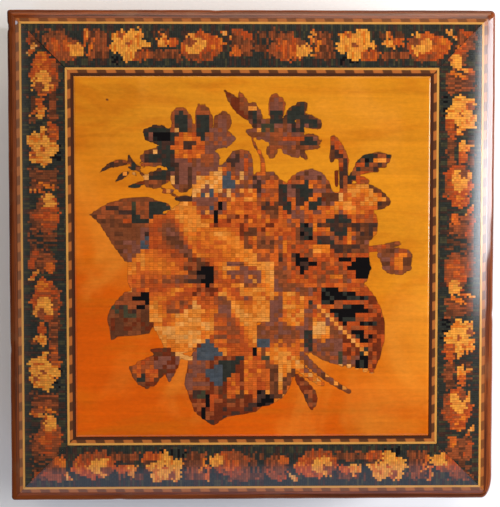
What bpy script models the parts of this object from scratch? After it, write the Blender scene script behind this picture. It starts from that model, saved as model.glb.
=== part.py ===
"""A Tunbridge ware box with a lift-off lid, standing closed.

Metres, +Z up. The front is -Y, as the bottom of the lid's picture is, and the origin is at the middle of
the underside. Four mitred strips make each ring of the box, from its walls to the bandings on its lid.
"""

from math import asin, cos, pi, radians, sin, sqrt, tan

import bmesh
import bpy

# Outside sizes of the box
BOX_WIDTH = 0.170
BOX_DEPTH = 0.172
BODY_HEIGHT = 0.050
LID_SIDE_HEIGHT = 0.0142

# Boards and linings
BASE_THICKNESS = 0.004
LINING_THICKNESS = 0.0018
LINING_STAND = 0.005
BOARD_SEAT = 0.0029
BOARD_EDGE = 0.0029
VENEER = 0.0012

# Widths of the lid's rings, from the outside inwards
EDGE_MOULDING = 0.0031
OUTER_BANDING = 0.0020
MOSAIC_BORDER = 0.0151
INNER_BANDING = 0.00285

# Forms
BORDER_FALL = radians(7.0)
EDGE_ROUND = 0.0030
SIDE_BAND = 0.0090

# How far each upright corner is worn round: along X and along Y
CORNER_WEAR = {
    "front_left": (0.0012, 0.0012),
    "front_right": (0.0035, 0.0080),
    "back_right": (0.0018, 0.0018),
    "back_left": (0.0010, 0.0010),
}

# Joints: neighbours that are glued or rest on each other, and the loose lid over its lining
GLUE_GAP = 0.0003
LID_CLEARANCE = 0.0004

# Steps of the rounded forms
CORNER_STEPS = 4
ROUND_STEPS = 6

# Lines across the lid, as distances in from its outer faces
WALL = EDGE_MOULDING + BOARD_SEAT
BANDING_LINE = EDGE_MOULDING + OUTER_BANDING
BORDER_LINE = BANDING_LINE + MOSAIC_BORDER
PANEL_LINE = BORDER_LINE + INNER_BANDING
LINING_LINE = WALL + GLUE_GAP
LID_SIDE = LINING_LINE - LID_CLEARANCE
JOINT_HALF = GLUE_GAP / 2

# Heights on the lid, above its lower rim
LID_BOTTOM = BODY_HEIGHT + GLUE_GAP
BOARD_BOTTOM = LID_SIDE_HEIGHT + GLUE_GAP
BOARD_DROP = (BORDER_LINE - EDGE_MOULDING) * tan(BORDER_FALL)
BOARD_TOP = BOARD_BOTTOM + BOARD_EDGE + BOARD_DROP
VENEER_BOTTOM = BOARD_TOP + GLUE_GAP
LID_TOP = VENEER_BOTTOM + VENEER

# Each side's turn about Z and the corners at its left and right ends, seen from outside
SIDES = {
    "front": (0.0, "front_left", "front_right"),
    "right": (0.5 * pi, "front_right", "back_right"),
    "back": (1.0 * pi, "back_right", "back_left"),
    "left": (1.5 * pi, "back_left", "front_left"),
}


def clear_scene():
    for thing in list(bpy.data.objects):
        bpy.data.objects.remove(thing)


def finish(name, colour, roughness):
    """A plain Principled material of one colour."""
    material = bpy.data.materials.new(name)
    material.use_nodes = True
    shader = material.node_tree.nodes["Principled BSDF"]
    shader.inputs["Base Color"].default_value = (*colour, 1.0)
    shader.inputs["Roughness"].default_value = roughness
    shader.inputs["Metallic"].default_value = 0.0
    return material


def group(name, height):
    """An empty that carries the pieces of the body or of the lid."""
    empty = bpy.data.objects.new(name, None)
    empty.location.z = height
    bpy.context.scene.collection.objects.link(empty)
    return empty


def add_piece(name, points, faces, material, parent, turn=0.0):
    """One closed piece in its group, turned about Z to its side of the box."""
    mesh = bpy.data.meshes.new(name)
    form = bmesh.new()
    corners = [form.verts.new(point) for point in points]
    for face in faces:
        form.faces.new([corners[i] for i in face])
    bmesh.ops.recalc_face_normals(form, faces=form.faces)
    form.to_mesh(mesh)
    form.free()
    mesh.materials.append(material)
    piece = bpy.data.objects.new(name, mesh)
    piece.parent = parent
    piece.rotation_euler.z = turn
    bpy.context.scene.collection.objects.link(piece)
    return piece


def fall(inset):
    """How far the lid's upper surface lies below the flat middle, at a distance in from its outer face."""
    return max(0.0, BORDER_LINE - inset) * tan(BORDER_FALL)


def corner_wear(corner, turn):
    """A corner's wear as (along the side's run, inwards), for a side turned this far."""
    along_x, along_y = CORNER_WEAR[corner]
    runs_along_x = abs(cos(turn)) > 0.5
    return (along_x, along_y) if runs_along_x else (along_y, along_x)


def outer_run(half_run, wear):
    """The outer line's points at one end: where its elliptical rounding starts, and on to the mitre.

    Each point is (run, inset). The mitre point lies where run and inset are the same distance from the
    sharp corner.
    """
    along, inward = wear
    reach = (1 / along + 1 / inward - sqrt(2 / (along * inward))) / (1 / along**2 + 1 / inward**2)
    mitre_angle = asin(1 - reach / along)
    angles = [mitre_angle * step / CORNER_STEPS for step in range(CORNER_STEPS + 1)]
    return [(half_run - along + along * sin(a), inward - inward * cos(a)) for a in angles]


def strip(name, side, lines, section, material, parent, worn=False):
    """A mitred strip along one side of the box.

    lines are its outer and inner distances in from the outer face. section is its outline, as points
    (share, height) whose share runs from 0 on the outer line to 1 on the inner line. The mitred ends stay
    half a joint away from the mitre plane. A worn strip's outer line is rounded at its two corners.
    """
    turn, left_corner, right_corner = SIDES[side]
    across_front = side in ("front", "back")
    half_run = (BOX_WIDTH if across_front else BOX_DEPTH) / 2
    half_across = (BOX_DEPTH if across_front else BOX_WIDTH) / 2
    outer, inner = lines
    end_cut = JOINT_HALF * sqrt(2)

    def half_line(corner):
        if worn:
            outer_points = outer_run(half_run, corner_wear(corner, turn))
        else:
            outer_points = [(half_run - outer, outer)]
        ends_at = outer_points[-1][0]
        cut = (ends_at - end_cut) / ends_at
        squeeze = (half_run - inner - end_cut) / ends_at
        return [((run * cut, inset), (run * squeeze, inner)) for run, inset in outer_points]

    right = half_line(right_corner)
    left = [((-o[0], o[1]), (-i[0], i[1])) for o, i in reversed(half_line(left_corner))]
    stations = left + right

    points = []
    for outer_point, inner_point in stations:
        for share, height in section:
            run = outer_point[0] + share * (inner_point[0] - outer_point[0])
            inset = outer_point[1] + share * (inner_point[1] - outer_point[1])
            points.append((run, inset - half_across, height))

    count = len(section)
    faces = [list(range(count)), list(range(len(points) - count, len(points)))]
    for station in range(len(stations) - 1):
        first = station * count
        for i in range(count):
            j = (i + 1) % count
            faces.append([first + i, first + j, first + count + j, first + count + i])
    return add_piece(f"{name}_{side}", points, faces, material, parent, turn)


def slab(name, inset, low, high, material, parent):
    """A flat board whose four edges lie this far in from the box's outer faces."""
    half_x = BOX_WIDTH / 2 - inset
    half_y = BOX_DEPTH / 2 - inset
    ring = [(-half_x, -half_y), (half_x, -half_y), (half_x, half_y), (-half_x, half_y)]
    points = [(x, y, z) for z in (low, high) for x, y in ring]
    faces = [[0, 1, 2, 3], [4, 5, 6, 7], *[[i, (i + 1) % 4, 4 + (i + 1) % 4, 4 + i] for i in range(4)]]
    return add_piece(name, points, faces, material, parent)


def body_wall(side, material, parent):
    """A wall with a shallow groove for its band half way up."""
    groove_low = (BODY_HEIGHT - SIDE_BAND) / 2
    groove_high = groove_low + SIDE_BAND
    groove = (VENEER + GLUE_GAP) / WALL
    section = [
        (0.0, 0.0),
        (0.0, groove_low),
        (groove, groove_low),
        (groove, groove_high),
        (0.0, groove_high),
        (0.0, BODY_HEIGHT),
        (1.0, BODY_HEIGHT),
        (1.0, 0.0),
    ]
    return strip("body_wall", side, (0.0, WALL), section, material, parent, worn=True)


def side_band(side, material, parent):
    """The band that lies flush in its wall's groove."""
    low = (BODY_HEIGHT - SIDE_BAND) / 2 + GLUE_GAP
    high = (BODY_HEIGHT + SIDE_BAND) / 2 - GLUE_GAP
    depth = VENEER / WALL
    section = [(0.0, low), (0.0, high), (depth, high), (depth, low)]
    return strip("side_band", side, (0.0, WALL), section, material, parent, worn=True)


def lining(side, material, parent):
    """A thin strip inside the wall, from the base board to a little above the rim."""
    low = BASE_THICKNESS + GLUE_GAP
    high = BODY_HEIGHT + LINING_STAND
    section = [(0.0, low), (0.0, high), (1.0, high), (1.0, low)]
    lines = (LINING_LINE, LINING_LINE + LINING_THICKNESS)
    return strip("lining", side, lines, section, material, parent)


def lid_side(side, material, parent):
    """A lid side, which clears the lining that it drops over."""
    section = [(0.0, 0.0), (0.0, LID_SIDE_HEIGHT), (1.0, LID_SIDE_HEIGHT), (1.0, 0.0)]
    return strip("lid_side", side, (0.0, LID_SIDE), section, material, parent, worn=True)


def edge_moulding(side, material, parent):
    """The lid's rosewood edge: upright outside, then a quarter round that ends at the banding."""
    top = LID_TOP - fall(EDGE_MOULDING)
    spring = top - EDGE_ROUND
    round_over = [
        (1.0 - cos(0.5 * pi * step / ROUND_STEPS), spring + EDGE_ROUND * sin(0.5 * pi * step / ROUND_STEPS))
        for step in range(ROUND_STEPS + 1)
    ]
    section = [(0.0, BOARD_BOTTOM), *round_over, (1.0, BOARD_BOTTOM)]
    lines = (0.0, EDGE_MOULDING - JOINT_HALF)
    return strip("edge_moulding", side, lines, section, material, parent, worn=True)


def veneer_strip(name, side, start, end, material, parent):
    """A strip of veneer on the lid, from one line to the next, lying on the board's slope or flat."""
    outer, inner = start + JOINT_HALF, end - JOINT_HALF
    outer_drop, inner_drop = fall(outer), fall(inner)
    section = [
        (0.0, VENEER_BOTTOM - outer_drop),
        (0.0, LID_TOP - outer_drop),
        (1.0, LID_TOP - inner_drop),
        (1.0, VENEER_BOTTOM - inner_drop),
    ]
    return strip(name, side, (outer, inner), section, material, parent)


def lid_board(material, parent):
    """The lid's ground board: flat below and in the middle, with four gently falling margins."""
    rings = [
        (EDGE_MOULDING + JOINT_HALF, BOARD_BOTTOM),
        (EDGE_MOULDING + JOINT_HALF, BOARD_TOP - fall(EDGE_MOULDING + JOINT_HALF)),
        (BORDER_LINE, BOARD_TOP),
    ]
    points = []
    for inset, height in rings:
        half_x = BOX_WIDTH / 2 - inset
        half_y = BOX_DEPTH / 2 - inset
        points += [(sx * half_x, sy * half_y, height) for sx, sy in ((-1, -1), (1, -1), (1, 1), (-1, 1))]
    faces = [[0, 1, 2, 3], [8, 9, 10, 11]]
    for ring in range(len(rings) - 1):
        low = 4 * ring
        faces += [[low + i, low + (i + 1) % 4, low + 4 + (i + 1) % 4, low + 4 + i] for i in range(4)]
    return add_piece("lid_board", points, faces, material, parent)


def build_body(finishes):
    body = group("box_body", 0.0)
    slab("base_board", WALL + GLUE_GAP, 0.0, BASE_THICKNESS, finishes["deal"], body)
    for side in SIDES:
        body_wall(side, finishes["rosewood"], body)
        side_band(side, finishes["mosaic"], body)
        lining(side, finishes["satinwood"], body)


def build_lid(finishes):
    lid = group("lid", LID_BOTTOM)
    lid_board(finishes["deal"], lid)
    for side in SIDES:
        lid_side(side, finishes["rosewood"], lid)
        edge_moulding(side, finishes["rosewood"], lid)
        veneer_strip("outer_banding", side, EDGE_MOULDING, BANDING_LINE, finishes["boxwood"], lid)
        veneer_strip("mosaic_border", side, BANDING_LINE, BORDER_LINE, finishes["mosaic"], lid)
        veneer_strip("inner_banding", side, BORDER_LINE, PANEL_LINE, finishes["boxwood"], lid)
    slab("bouquet_panel", PANEL_LINE + JOINT_HALF, VENEER_BOTTOM, LID_TOP, finishes["satinwood"], lid)


def main():
    clear_scene()
    finishes = {
        "rosewood": finish("rosewood", (0.110, 0.028, 0.010), 0.25),
        "mosaic": finish("mosaic", (0.085, 0.055, 0.030), 0.30),
        "boxwood": finish("boxwood", (0.560, 0.300, 0.070), 0.30),
        "satinwood": finish("satinwood", (0.680, 0.250, 0.025), 0.28),
        "deal": finish("deal", (0.480, 0.300, 0.140), 0.70),
    }
    build_body(finishes)
    build_lid(finishes)


main()
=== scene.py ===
"""Looks for the Tunbridge ware box: veneer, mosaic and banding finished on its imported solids.

Metres in the shared frame, front at -Y. Drawings of the mosaic are in millimetres, with their origin in the
middle of the lid's panel, or at the middle of a border strip's run.
"""

from math import cos, pi, radians, sin, sqrt

import bmesh
import bpy
import numpy as np
from bpy.props import FloatProperty, FloatVectorProperty, PointerProperty
from bpy.types import Operator, Panel, PropertyGroup
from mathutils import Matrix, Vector


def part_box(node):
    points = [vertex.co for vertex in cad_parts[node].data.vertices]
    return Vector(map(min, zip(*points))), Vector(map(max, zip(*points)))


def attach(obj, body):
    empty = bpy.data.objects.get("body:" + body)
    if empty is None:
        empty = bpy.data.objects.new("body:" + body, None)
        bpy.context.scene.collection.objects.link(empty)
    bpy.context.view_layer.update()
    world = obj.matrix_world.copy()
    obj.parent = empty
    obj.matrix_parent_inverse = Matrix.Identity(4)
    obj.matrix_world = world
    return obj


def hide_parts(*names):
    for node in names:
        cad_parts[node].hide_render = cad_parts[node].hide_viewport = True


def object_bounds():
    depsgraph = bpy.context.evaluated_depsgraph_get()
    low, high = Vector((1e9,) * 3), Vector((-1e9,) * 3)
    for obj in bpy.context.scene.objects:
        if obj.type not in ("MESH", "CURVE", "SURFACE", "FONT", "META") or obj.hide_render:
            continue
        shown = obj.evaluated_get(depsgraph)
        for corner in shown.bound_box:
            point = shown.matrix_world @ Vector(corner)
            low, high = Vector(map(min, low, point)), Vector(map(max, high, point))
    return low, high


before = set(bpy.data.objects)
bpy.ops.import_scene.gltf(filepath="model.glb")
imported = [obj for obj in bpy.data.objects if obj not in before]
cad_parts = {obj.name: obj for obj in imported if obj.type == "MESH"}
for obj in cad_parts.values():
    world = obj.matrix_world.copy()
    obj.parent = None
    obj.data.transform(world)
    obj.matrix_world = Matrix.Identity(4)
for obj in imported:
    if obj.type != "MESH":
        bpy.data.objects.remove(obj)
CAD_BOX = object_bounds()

bl_info = {
    "name": "Tunbridge Ware Box",
    "version": (1, 0, 0),
    "blender": (4, 5, 0),
    "location": "View3D > Sidebar > Box",
    "description": "Veneers, mosaic, bandings and stage of a Tunbridge ware box",
    "category": "Object",
}

MM = 0.001
BODY = "root"

# The box as packed
LOW, HIGH = CAD_BOX
HALF_X, HALF_Y, LID_TOP = HIGH.x, HIGH.y, HIGH.z


def ring(kind):
    """One ring of strips: its outer and inner distances in from the front face, then its low and high."""
    low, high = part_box(f"{kind}_front")
    return low.y - LOW.y, high.y - LOW.y, low.z, high.z


EDGE, BANDING, BORDER, INNER = (
    ring(kind) for kind in ("edge_moulding", "outer_banding", "mosaic_border", "inner_banding")
)
WALL, SIDE_BAND, LID_SIDE = (ring(kind) for kind in ("body_wall", "side_band", "lid_side"))
PANEL_LOW, PANEL_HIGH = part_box("bouquet_panel")

# Lines where two rings meet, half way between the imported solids
EDGE_LINE = (EDGE[1] + BANDING[0]) / 2
BANDING_LINE = (BANDING[1] + BORDER[0]) / 2
BORDER_LINE = (BORDER[1] + INNER[0]) / 2
PANEL_LINE = (INNER[1] + PANEL_LOW.y - LOW.y) / 2
LID_SEAM = (LID_SIDE[3] + EDGE[2]) / 2
VENEER = PANEL_HIGH.z - PANEL_LOW.z
PACKED_GAP = EDGE[2] - LID_SIDE[3]
GROOVE_LOW, GROOVE_HIGH = SIDE_BAND[2] - PACKED_GAP, SIDE_BAND[3] + PACKED_GAP
WALL_LINE, LID_SIDE_LINE = WALL[1], LID_SIDE[1]
FALL = (LID_TOP - BORDER[2] - VENEER) / (BORDER_LINE - BORDER[0])
FALL_CURVE = 1.7

# Finish of the joints: close-fitting glue lines and softened edges
JOINT = 0.00003
ARRIS = 0.0004
PANEL_EDGE_RUN = 0.0012
PANEL_EDGE_DROP = 0.00034
EDGE_ROUND = 0.0021

# Wear of the upright corners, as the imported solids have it: along X and along Y
CORNER_WEAR = {
    "front_left": (0.0012, 0.0012),
    "front_right": (0.0035, 0.0080),
    "back_right": (0.0018, 0.0018),
    "back_left": (0.0010, 0.0010),
}

# The four sides: their turn about Z, and their corners from left to right as seen from outside
SIDES = {
    "front": (0.0, "front_left", "front_right"),
    "right": (0.5 * pi, "front_right", "back_right"),
    "back": (1.0 * pi, "back_right", "back_left"),
    "left": (1.5 * pi, "back_left", "front_left"),
}

# Nicks in the lid's edge: side, place along its run, length and depth
NICKS = (
    ("left", -0.0800, 0.0011, 0.00055),
    ("left", 0.0325, 0.0016, 0.00018),
    ("front", -0.0470, 0.0020, 0.00016),
    ("back", 0.0125, 0.0014, 0.00015),
    ("right", -0.0205, 0.0018, 0.00020),
)

# The back left corner: a chip in the banding, whose bare wood is a painted highlight, and the open mitre in
# the border with painted shade in its gap, its end, start and width
CHIP = (-0.0817, 0.0813)
CHIP_REACH = 0.0008
OPEN_MITRE_END = -0.064
OPEN_MITRE_FADE = (-0.077, -0.073)
OPEN_MITRE = 0.00022

# Woods of the mosaic, as screen colours from 0 to 255
WOODS = {
    "barberry": (213, 138, 48),
    "mahogany": (98, 38, 14),
    "greenoak": (58, 54, 36),
    "bluestain": (62, 66, 70),
    "holly": (205, 138, 68),
    "boxwood": (205, 123, 44),
    "satinwood": (196, 102, 24),
    "yew": (180, 82, 24),
    "padauk": (160, 64, 20),
    "cherry": (136, 65, 30),
    "walnut": (110, 57, 29),
    "plum": (112, 64, 48),
    "laburnum": (84, 45, 24),
    "fumed": (58, 37, 28),
    "bogoak": (40, 40, 33),
    "ebony": (10, 6, 6),
}
WOOD_NUMBER = {name: number for number, name in enumerate(WOODS)}

# Chance in the mosaic: its seed, the size of its table, how many sticks a streak runs, and where it starts
SEED = 27
CHANCES = 256
STREAK_RUN = 3
STREAK_START = (97, 71)

# How far outlines step with the sticks, and how far single sticks and streaks stray from their shade
STEPPED = 0.72
LOOSE_STICK = 0.12
LOOSE_STREAK = 0.14

# Drawn figures, in millimetres: farther off than any, a leaf's fullness, and a petal's shading to its heart
FAR = 99.0
LEAF_FULLNESS = 0.85
PETAL_SHADING = 1.4

# The bouquet's size against the millimetres it is drawn in
BOUQUET_REACH = 0.995

# Joints between blocks of the bouquet's mosaic: from one end to the other, in millimetres
SEAMS = (
    ((-35.7, 13.0), (-35.7, -11.5)),
    ((29.0, 22.7), (43.0, 22.7)),
    ((-9.0, -2.4), (3.0, -2.4)),
    ((9.3, -29.5), (9.3, -46.0)),
)

# The border, in millimetres: where its first full flower stands on each side, how often it repeats, how far
# in its figures start, their depth against the drawn one, and how unevenly the sticks lie
MOTIF_FIRST = {"back": -42.2, "right": -49.5, "front": -47.2, "left": -39.6}
MOTIF_RUN = 78.4
MOTIF_EDGE = 1.5
MOTIF_DEPTH = 0.875
RAGGED = 0.3

# The side bands, in millimetres: one lozenge's run, its sides' slope, and the pale edges' width
LOZENGE_RUN = 8.0
LOZENGE_SLOPE = 0.72
PALE_EDGE = 0.9

# How much single sticks differ in colour, in each mosaic, and what share of that is warmth
BOUQUET_SPREAD = 0.13
BORDER_SPREAD = 0.2
SIDE_BAND_SPREAD = 0.12
WARMTH = 0.35

# How dark the joints between sticks are, and how strongly the dashes of a banding differ
BORDER_JOINTS = 0.3
SIDE_BAND_JOINTS = 0.12
OUTER_CONTRAST = 0.5
INNER_CONTRAST = 0.85

# How high the finishes' unevenness stands, in metres
ROSEWOOD_RELIEF = 0.00012
BANDING_RELIEF = 0.00006
MOSAIC_RELIEF = 0.00007
PANEL_RELIEF = 0.00022
PLAIN_RELIEF = 0.0001

# Where each rosewood piece is cut from the figure: the first side's place, and the step to the next
ROSEWOOD_CUTS = {"body_wall": (3.0, 7.3), "lid_side": (50.0, 5.1), "edge_moulding": (90.0, 9.7)}

# The panel's hidden sides: their shade, and the distance from figures they are given, in millimetres
SKIRT_SHADE = 0.2
CLEAR = 9.0

# Steps of the curved forms, a moulding's lower arris as a share of its width, and the sharpest smooth edge
CORNER_STEPS = 12
ARRIS_STEPS = 4
MOULDING_STEPS = 17
WALL_STATIONS = 60
EDGE_STATIONS = 240
BANDING_STATIONS = 41
BANDING_LINES = 5
MOULDING_ARRIS = 0.06
PANEL_EDGE_STEPS = (0.8, 0.55, 0.35, 0.18, 0.06, 0.0)
PANEL_CELLS = 48
STICK_STEPS = 3
SHARP_ANGLE = radians(38)

# How often the rubbing along the lid's edge comes and goes, in waves to the metre times a whole turn
RUBBING_WAVES = (61, 137, 331)


def screen(red, green, blue):
    """A screen colour from 0 to 255 as linear light."""
    share = np.array((red, green, blue), float) / 255
    return tuple(np.where(share <= 0.04045, share / 12.92, ((share + 0.055) / 1.055) ** 2.4))


# Drawing of mosaic
class Chart:
    """A mosaic's plan: for each place its wood, and its distance from the sawn outlines of the figures.

    Figures are laid one over the other. Distances are in millimetres, negative inside a figure. Places are
    drawn in towards the middles of their sticks, so that outlines go in soft steps. Chance falls alike on
    each block of sticks, as (columns, rows). Woods are given as one string of names.
    """

    def __init__(self, x, y, pitch, ground="satinwood", seed=SEED, block=(1, 1)):
        turn = 2 * pi / pitch
        self.x, self.y = (line + STEPPED * np.sin(turn * line) / turn for line in (x, y))
        self.wood = np.full(x.shape, float(WOOD_NUMBER[ground]))
        self.cut = np.full(x.shape, FAR)
        column = np.floor(x / pitch).astype(int) // block[0]
        row = np.floor(y / pitch).astype(int) // block[1]
        table = np.random.default_rng(seed).random((CHANCES, CHANCES))
        self.chance = table[row % CHANCES, column % CHANCES]
        run = column // STREAK_RUN
        self.streak = table[(row + STREAK_START[1]) % CHANCES, (run + STREAK_START[0]) % CHANCES]

    def pick(self, woods):
        """One of these woods for each stick, by chance."""
        numbers = np.array([WOOD_NUMBER[name] for name in woods.split()])
        return numbers[np.minimum((self.chance * len(numbers)).astype(int), len(numbers) - 1)]

    def lay(self, distance, woods):
        """A figure cut to an outline, in these woods. Sticks on its outline take its wood too."""
        take = (distance < 0) | ((self.cut > 0) & (distance < self.cut))
        self.wood = np.where(take, self.pick(woods), self.wood)
        self.cut = np.minimum(self.cut, distance)

    def figure(self, woods, *points):
        """A figure with straight runs."""
        self.lay(self.shape(*points), woods)

    def patch(self, distance, woods):
        """A change of wood inside the figures already laid."""
        self.wood = np.where(distance < 0, self.pick(woods), self.wood)

    def area(self, woods, *points):
        """A change of wood with straight runs."""
        self.patch(self.shape(*points), woods)

    def sticks(self, woods, *corners):
        """A change of wood in an upright rectangle."""
        self.patch(self.block(*corners), woods)

    def beads(self, woods, radii, turn, *places):
        """Small ovals of a pale wood at these places."""
        for place in places:
            self.lay(self.oval(*place, *radii, turn), woods)

    def petals(self, rows, ragged):
        """Petals with a ragged rim of their first wood, shading to their last one at the heart."""
        for cx, cy, rx, ry, turn, woods in rows:
            petal = self.oval(cx, cy, rx, ry, turn)
            self.lay(petal + ragged, woods.split()[0])
            self.grade(petal, -PETAL_SHADING * petal / min(rx, ry), woods)

    def grade(self, distance, tone, woods):
        """Shading inside an outline, from the first wood at tone 0 to the last at tone 1, broken by chance.

        Between two woods it takes paler or darker sticks of either.
        """
        numbers = np.array([WOOD_NUMBER[name] for name in woods.split()])
        loose = tone + LOOSE_STICK * (self.chance - 0.5) + LOOSE_STREAK * (self.streak - 0.5)
        place = np.clip(loose * len(numbers) - 0.5, 0, len(numbers) - 1)
        self.wood = np.where(distance < 0, np.interp(place, np.arange(len(numbers)), numbers), self.wood)

    def shape(self, *points):
        """A closed outline with straight runs: distance to its nearest run, negative where it goes round."""
        nearest = np.full(self.x.shape, 1e6)
        inside = np.zeros(self.x.shape, bool)
        for (ax, ay), (bx, by) in zip(points, points[1:] + points[:1]):
            ex, ey = bx - ax, by - ay
            wx, wy = self.x - ax, self.y - ay
            along = np.clip((wx * ex + wy * ey) / (ex * ex + ey * ey), 0, 1)
            nearest = np.minimum(nearest, (wx - ex * along) ** 2 + (wy - ey * along) ** 2)
            spans = (ay > self.y) != (by > self.y)
            if ey:
                inside ^= spans & (wx < ex * wy / ey)
        return np.where(inside, -np.sqrt(nearest), np.sqrt(nearest))

    def oval(self, cx, cy, rx, ry, turn=0.0):
        """An ellipse, turned anticlockwise by degrees."""
        a = radians(turn)
        u = (self.x - cx) * cos(a) + (self.y - cy) * sin(a)
        v = (self.y - cy) * cos(a) - (self.x - cx) * sin(a)
        reach = np.sqrt((u / rx) ** 2 + (v / ry) ** 2)
        slope = np.sqrt((u / rx**2) ** 2 + (v / ry**2) ** 2) / np.maximum(reach, 1e-6)
        return (reach - 1) / np.maximum(slope, 1e-6)

    def bar(self, x0, y0, x1, y1, start, end=None, bend=0.0):
        """A tapering stroke as wide as start and end. bend lifts its middle to the left of its run."""
        end = start if end is None else end
        share, across, run = self.axis(x0, y0, x1, y1, bend)
        inside = np.clip(share, 0, 1)
        return np.hypot((share - inside) * run, across) - (start + inside * (end - start)) / 2

    def axis(self, x0, y0, x1, y1, bend=0.0):
        """Share along a bowed axis, distance to its left, and its length."""
        dx, dy = x1 - x0, y1 - y0
        run = sqrt(dx * dx + dy * dy)
        share = ((self.x - x0) * dx + (self.y - y0) * dy) / run**2
        across = ((self.y - y0) * dx - (self.x - x0) * dy) / run
        inside = np.clip(share, 0, 1)
        return share, across - 4 * bend * inside * (1 - inside), run

    def leaf(self, x0, y0, x1, y1, left, right, bend=0.0):
        """A leaf from base to tip, left and right of its rib: half widths follow a sine's power."""
        share, across, run = self.axis(x0, y0, x1, y1, bend)
        inside = np.clip(share, 0, 1)
        half = np.where(across > 0, left, right) * np.sin(pi * inside**LEAF_FULLNESS) ** LEAF_FULLNESS
        return np.maximum((np.abs(across) - half) * LEAF_FULLNESS, np.maximum(-share, share - 1) * run)

    def block(self, x0, y0, x1, y1):
        """An upright rectangle from its lower left to its upper right corner."""
        return np.maximum(np.maximum(x0 - self.x, self.x - x1), np.maximum(y0 - self.y, self.y - y1))

    def veins(self, cx, cy, reach, rays):
        """Tone round a flower's throat, fading evenly out of it, and along rays.

        A ray is (degrees, half width in degrees, length as a share of reach, tone).
        """
        dx, dy = self.x - cx, self.y - cy
        out = np.hypot(dx, dy) / reach
        angle = np.degrees(np.arctan2(dy, dx))
        tone = np.clip(0.9 - 3.4 * out, 0, 1)
        for toward, spread, run, depth in rays:
            off = np.abs((angle - toward + 180) % 360 - 180)
            ray = depth * np.clip(1.5 - 1.5 * off / spread, 0, 1) * np.clip((1.15 - out / run) * 2.5, 0, 1)
            tone = np.maximum(tone, ray)
        return tone


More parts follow.
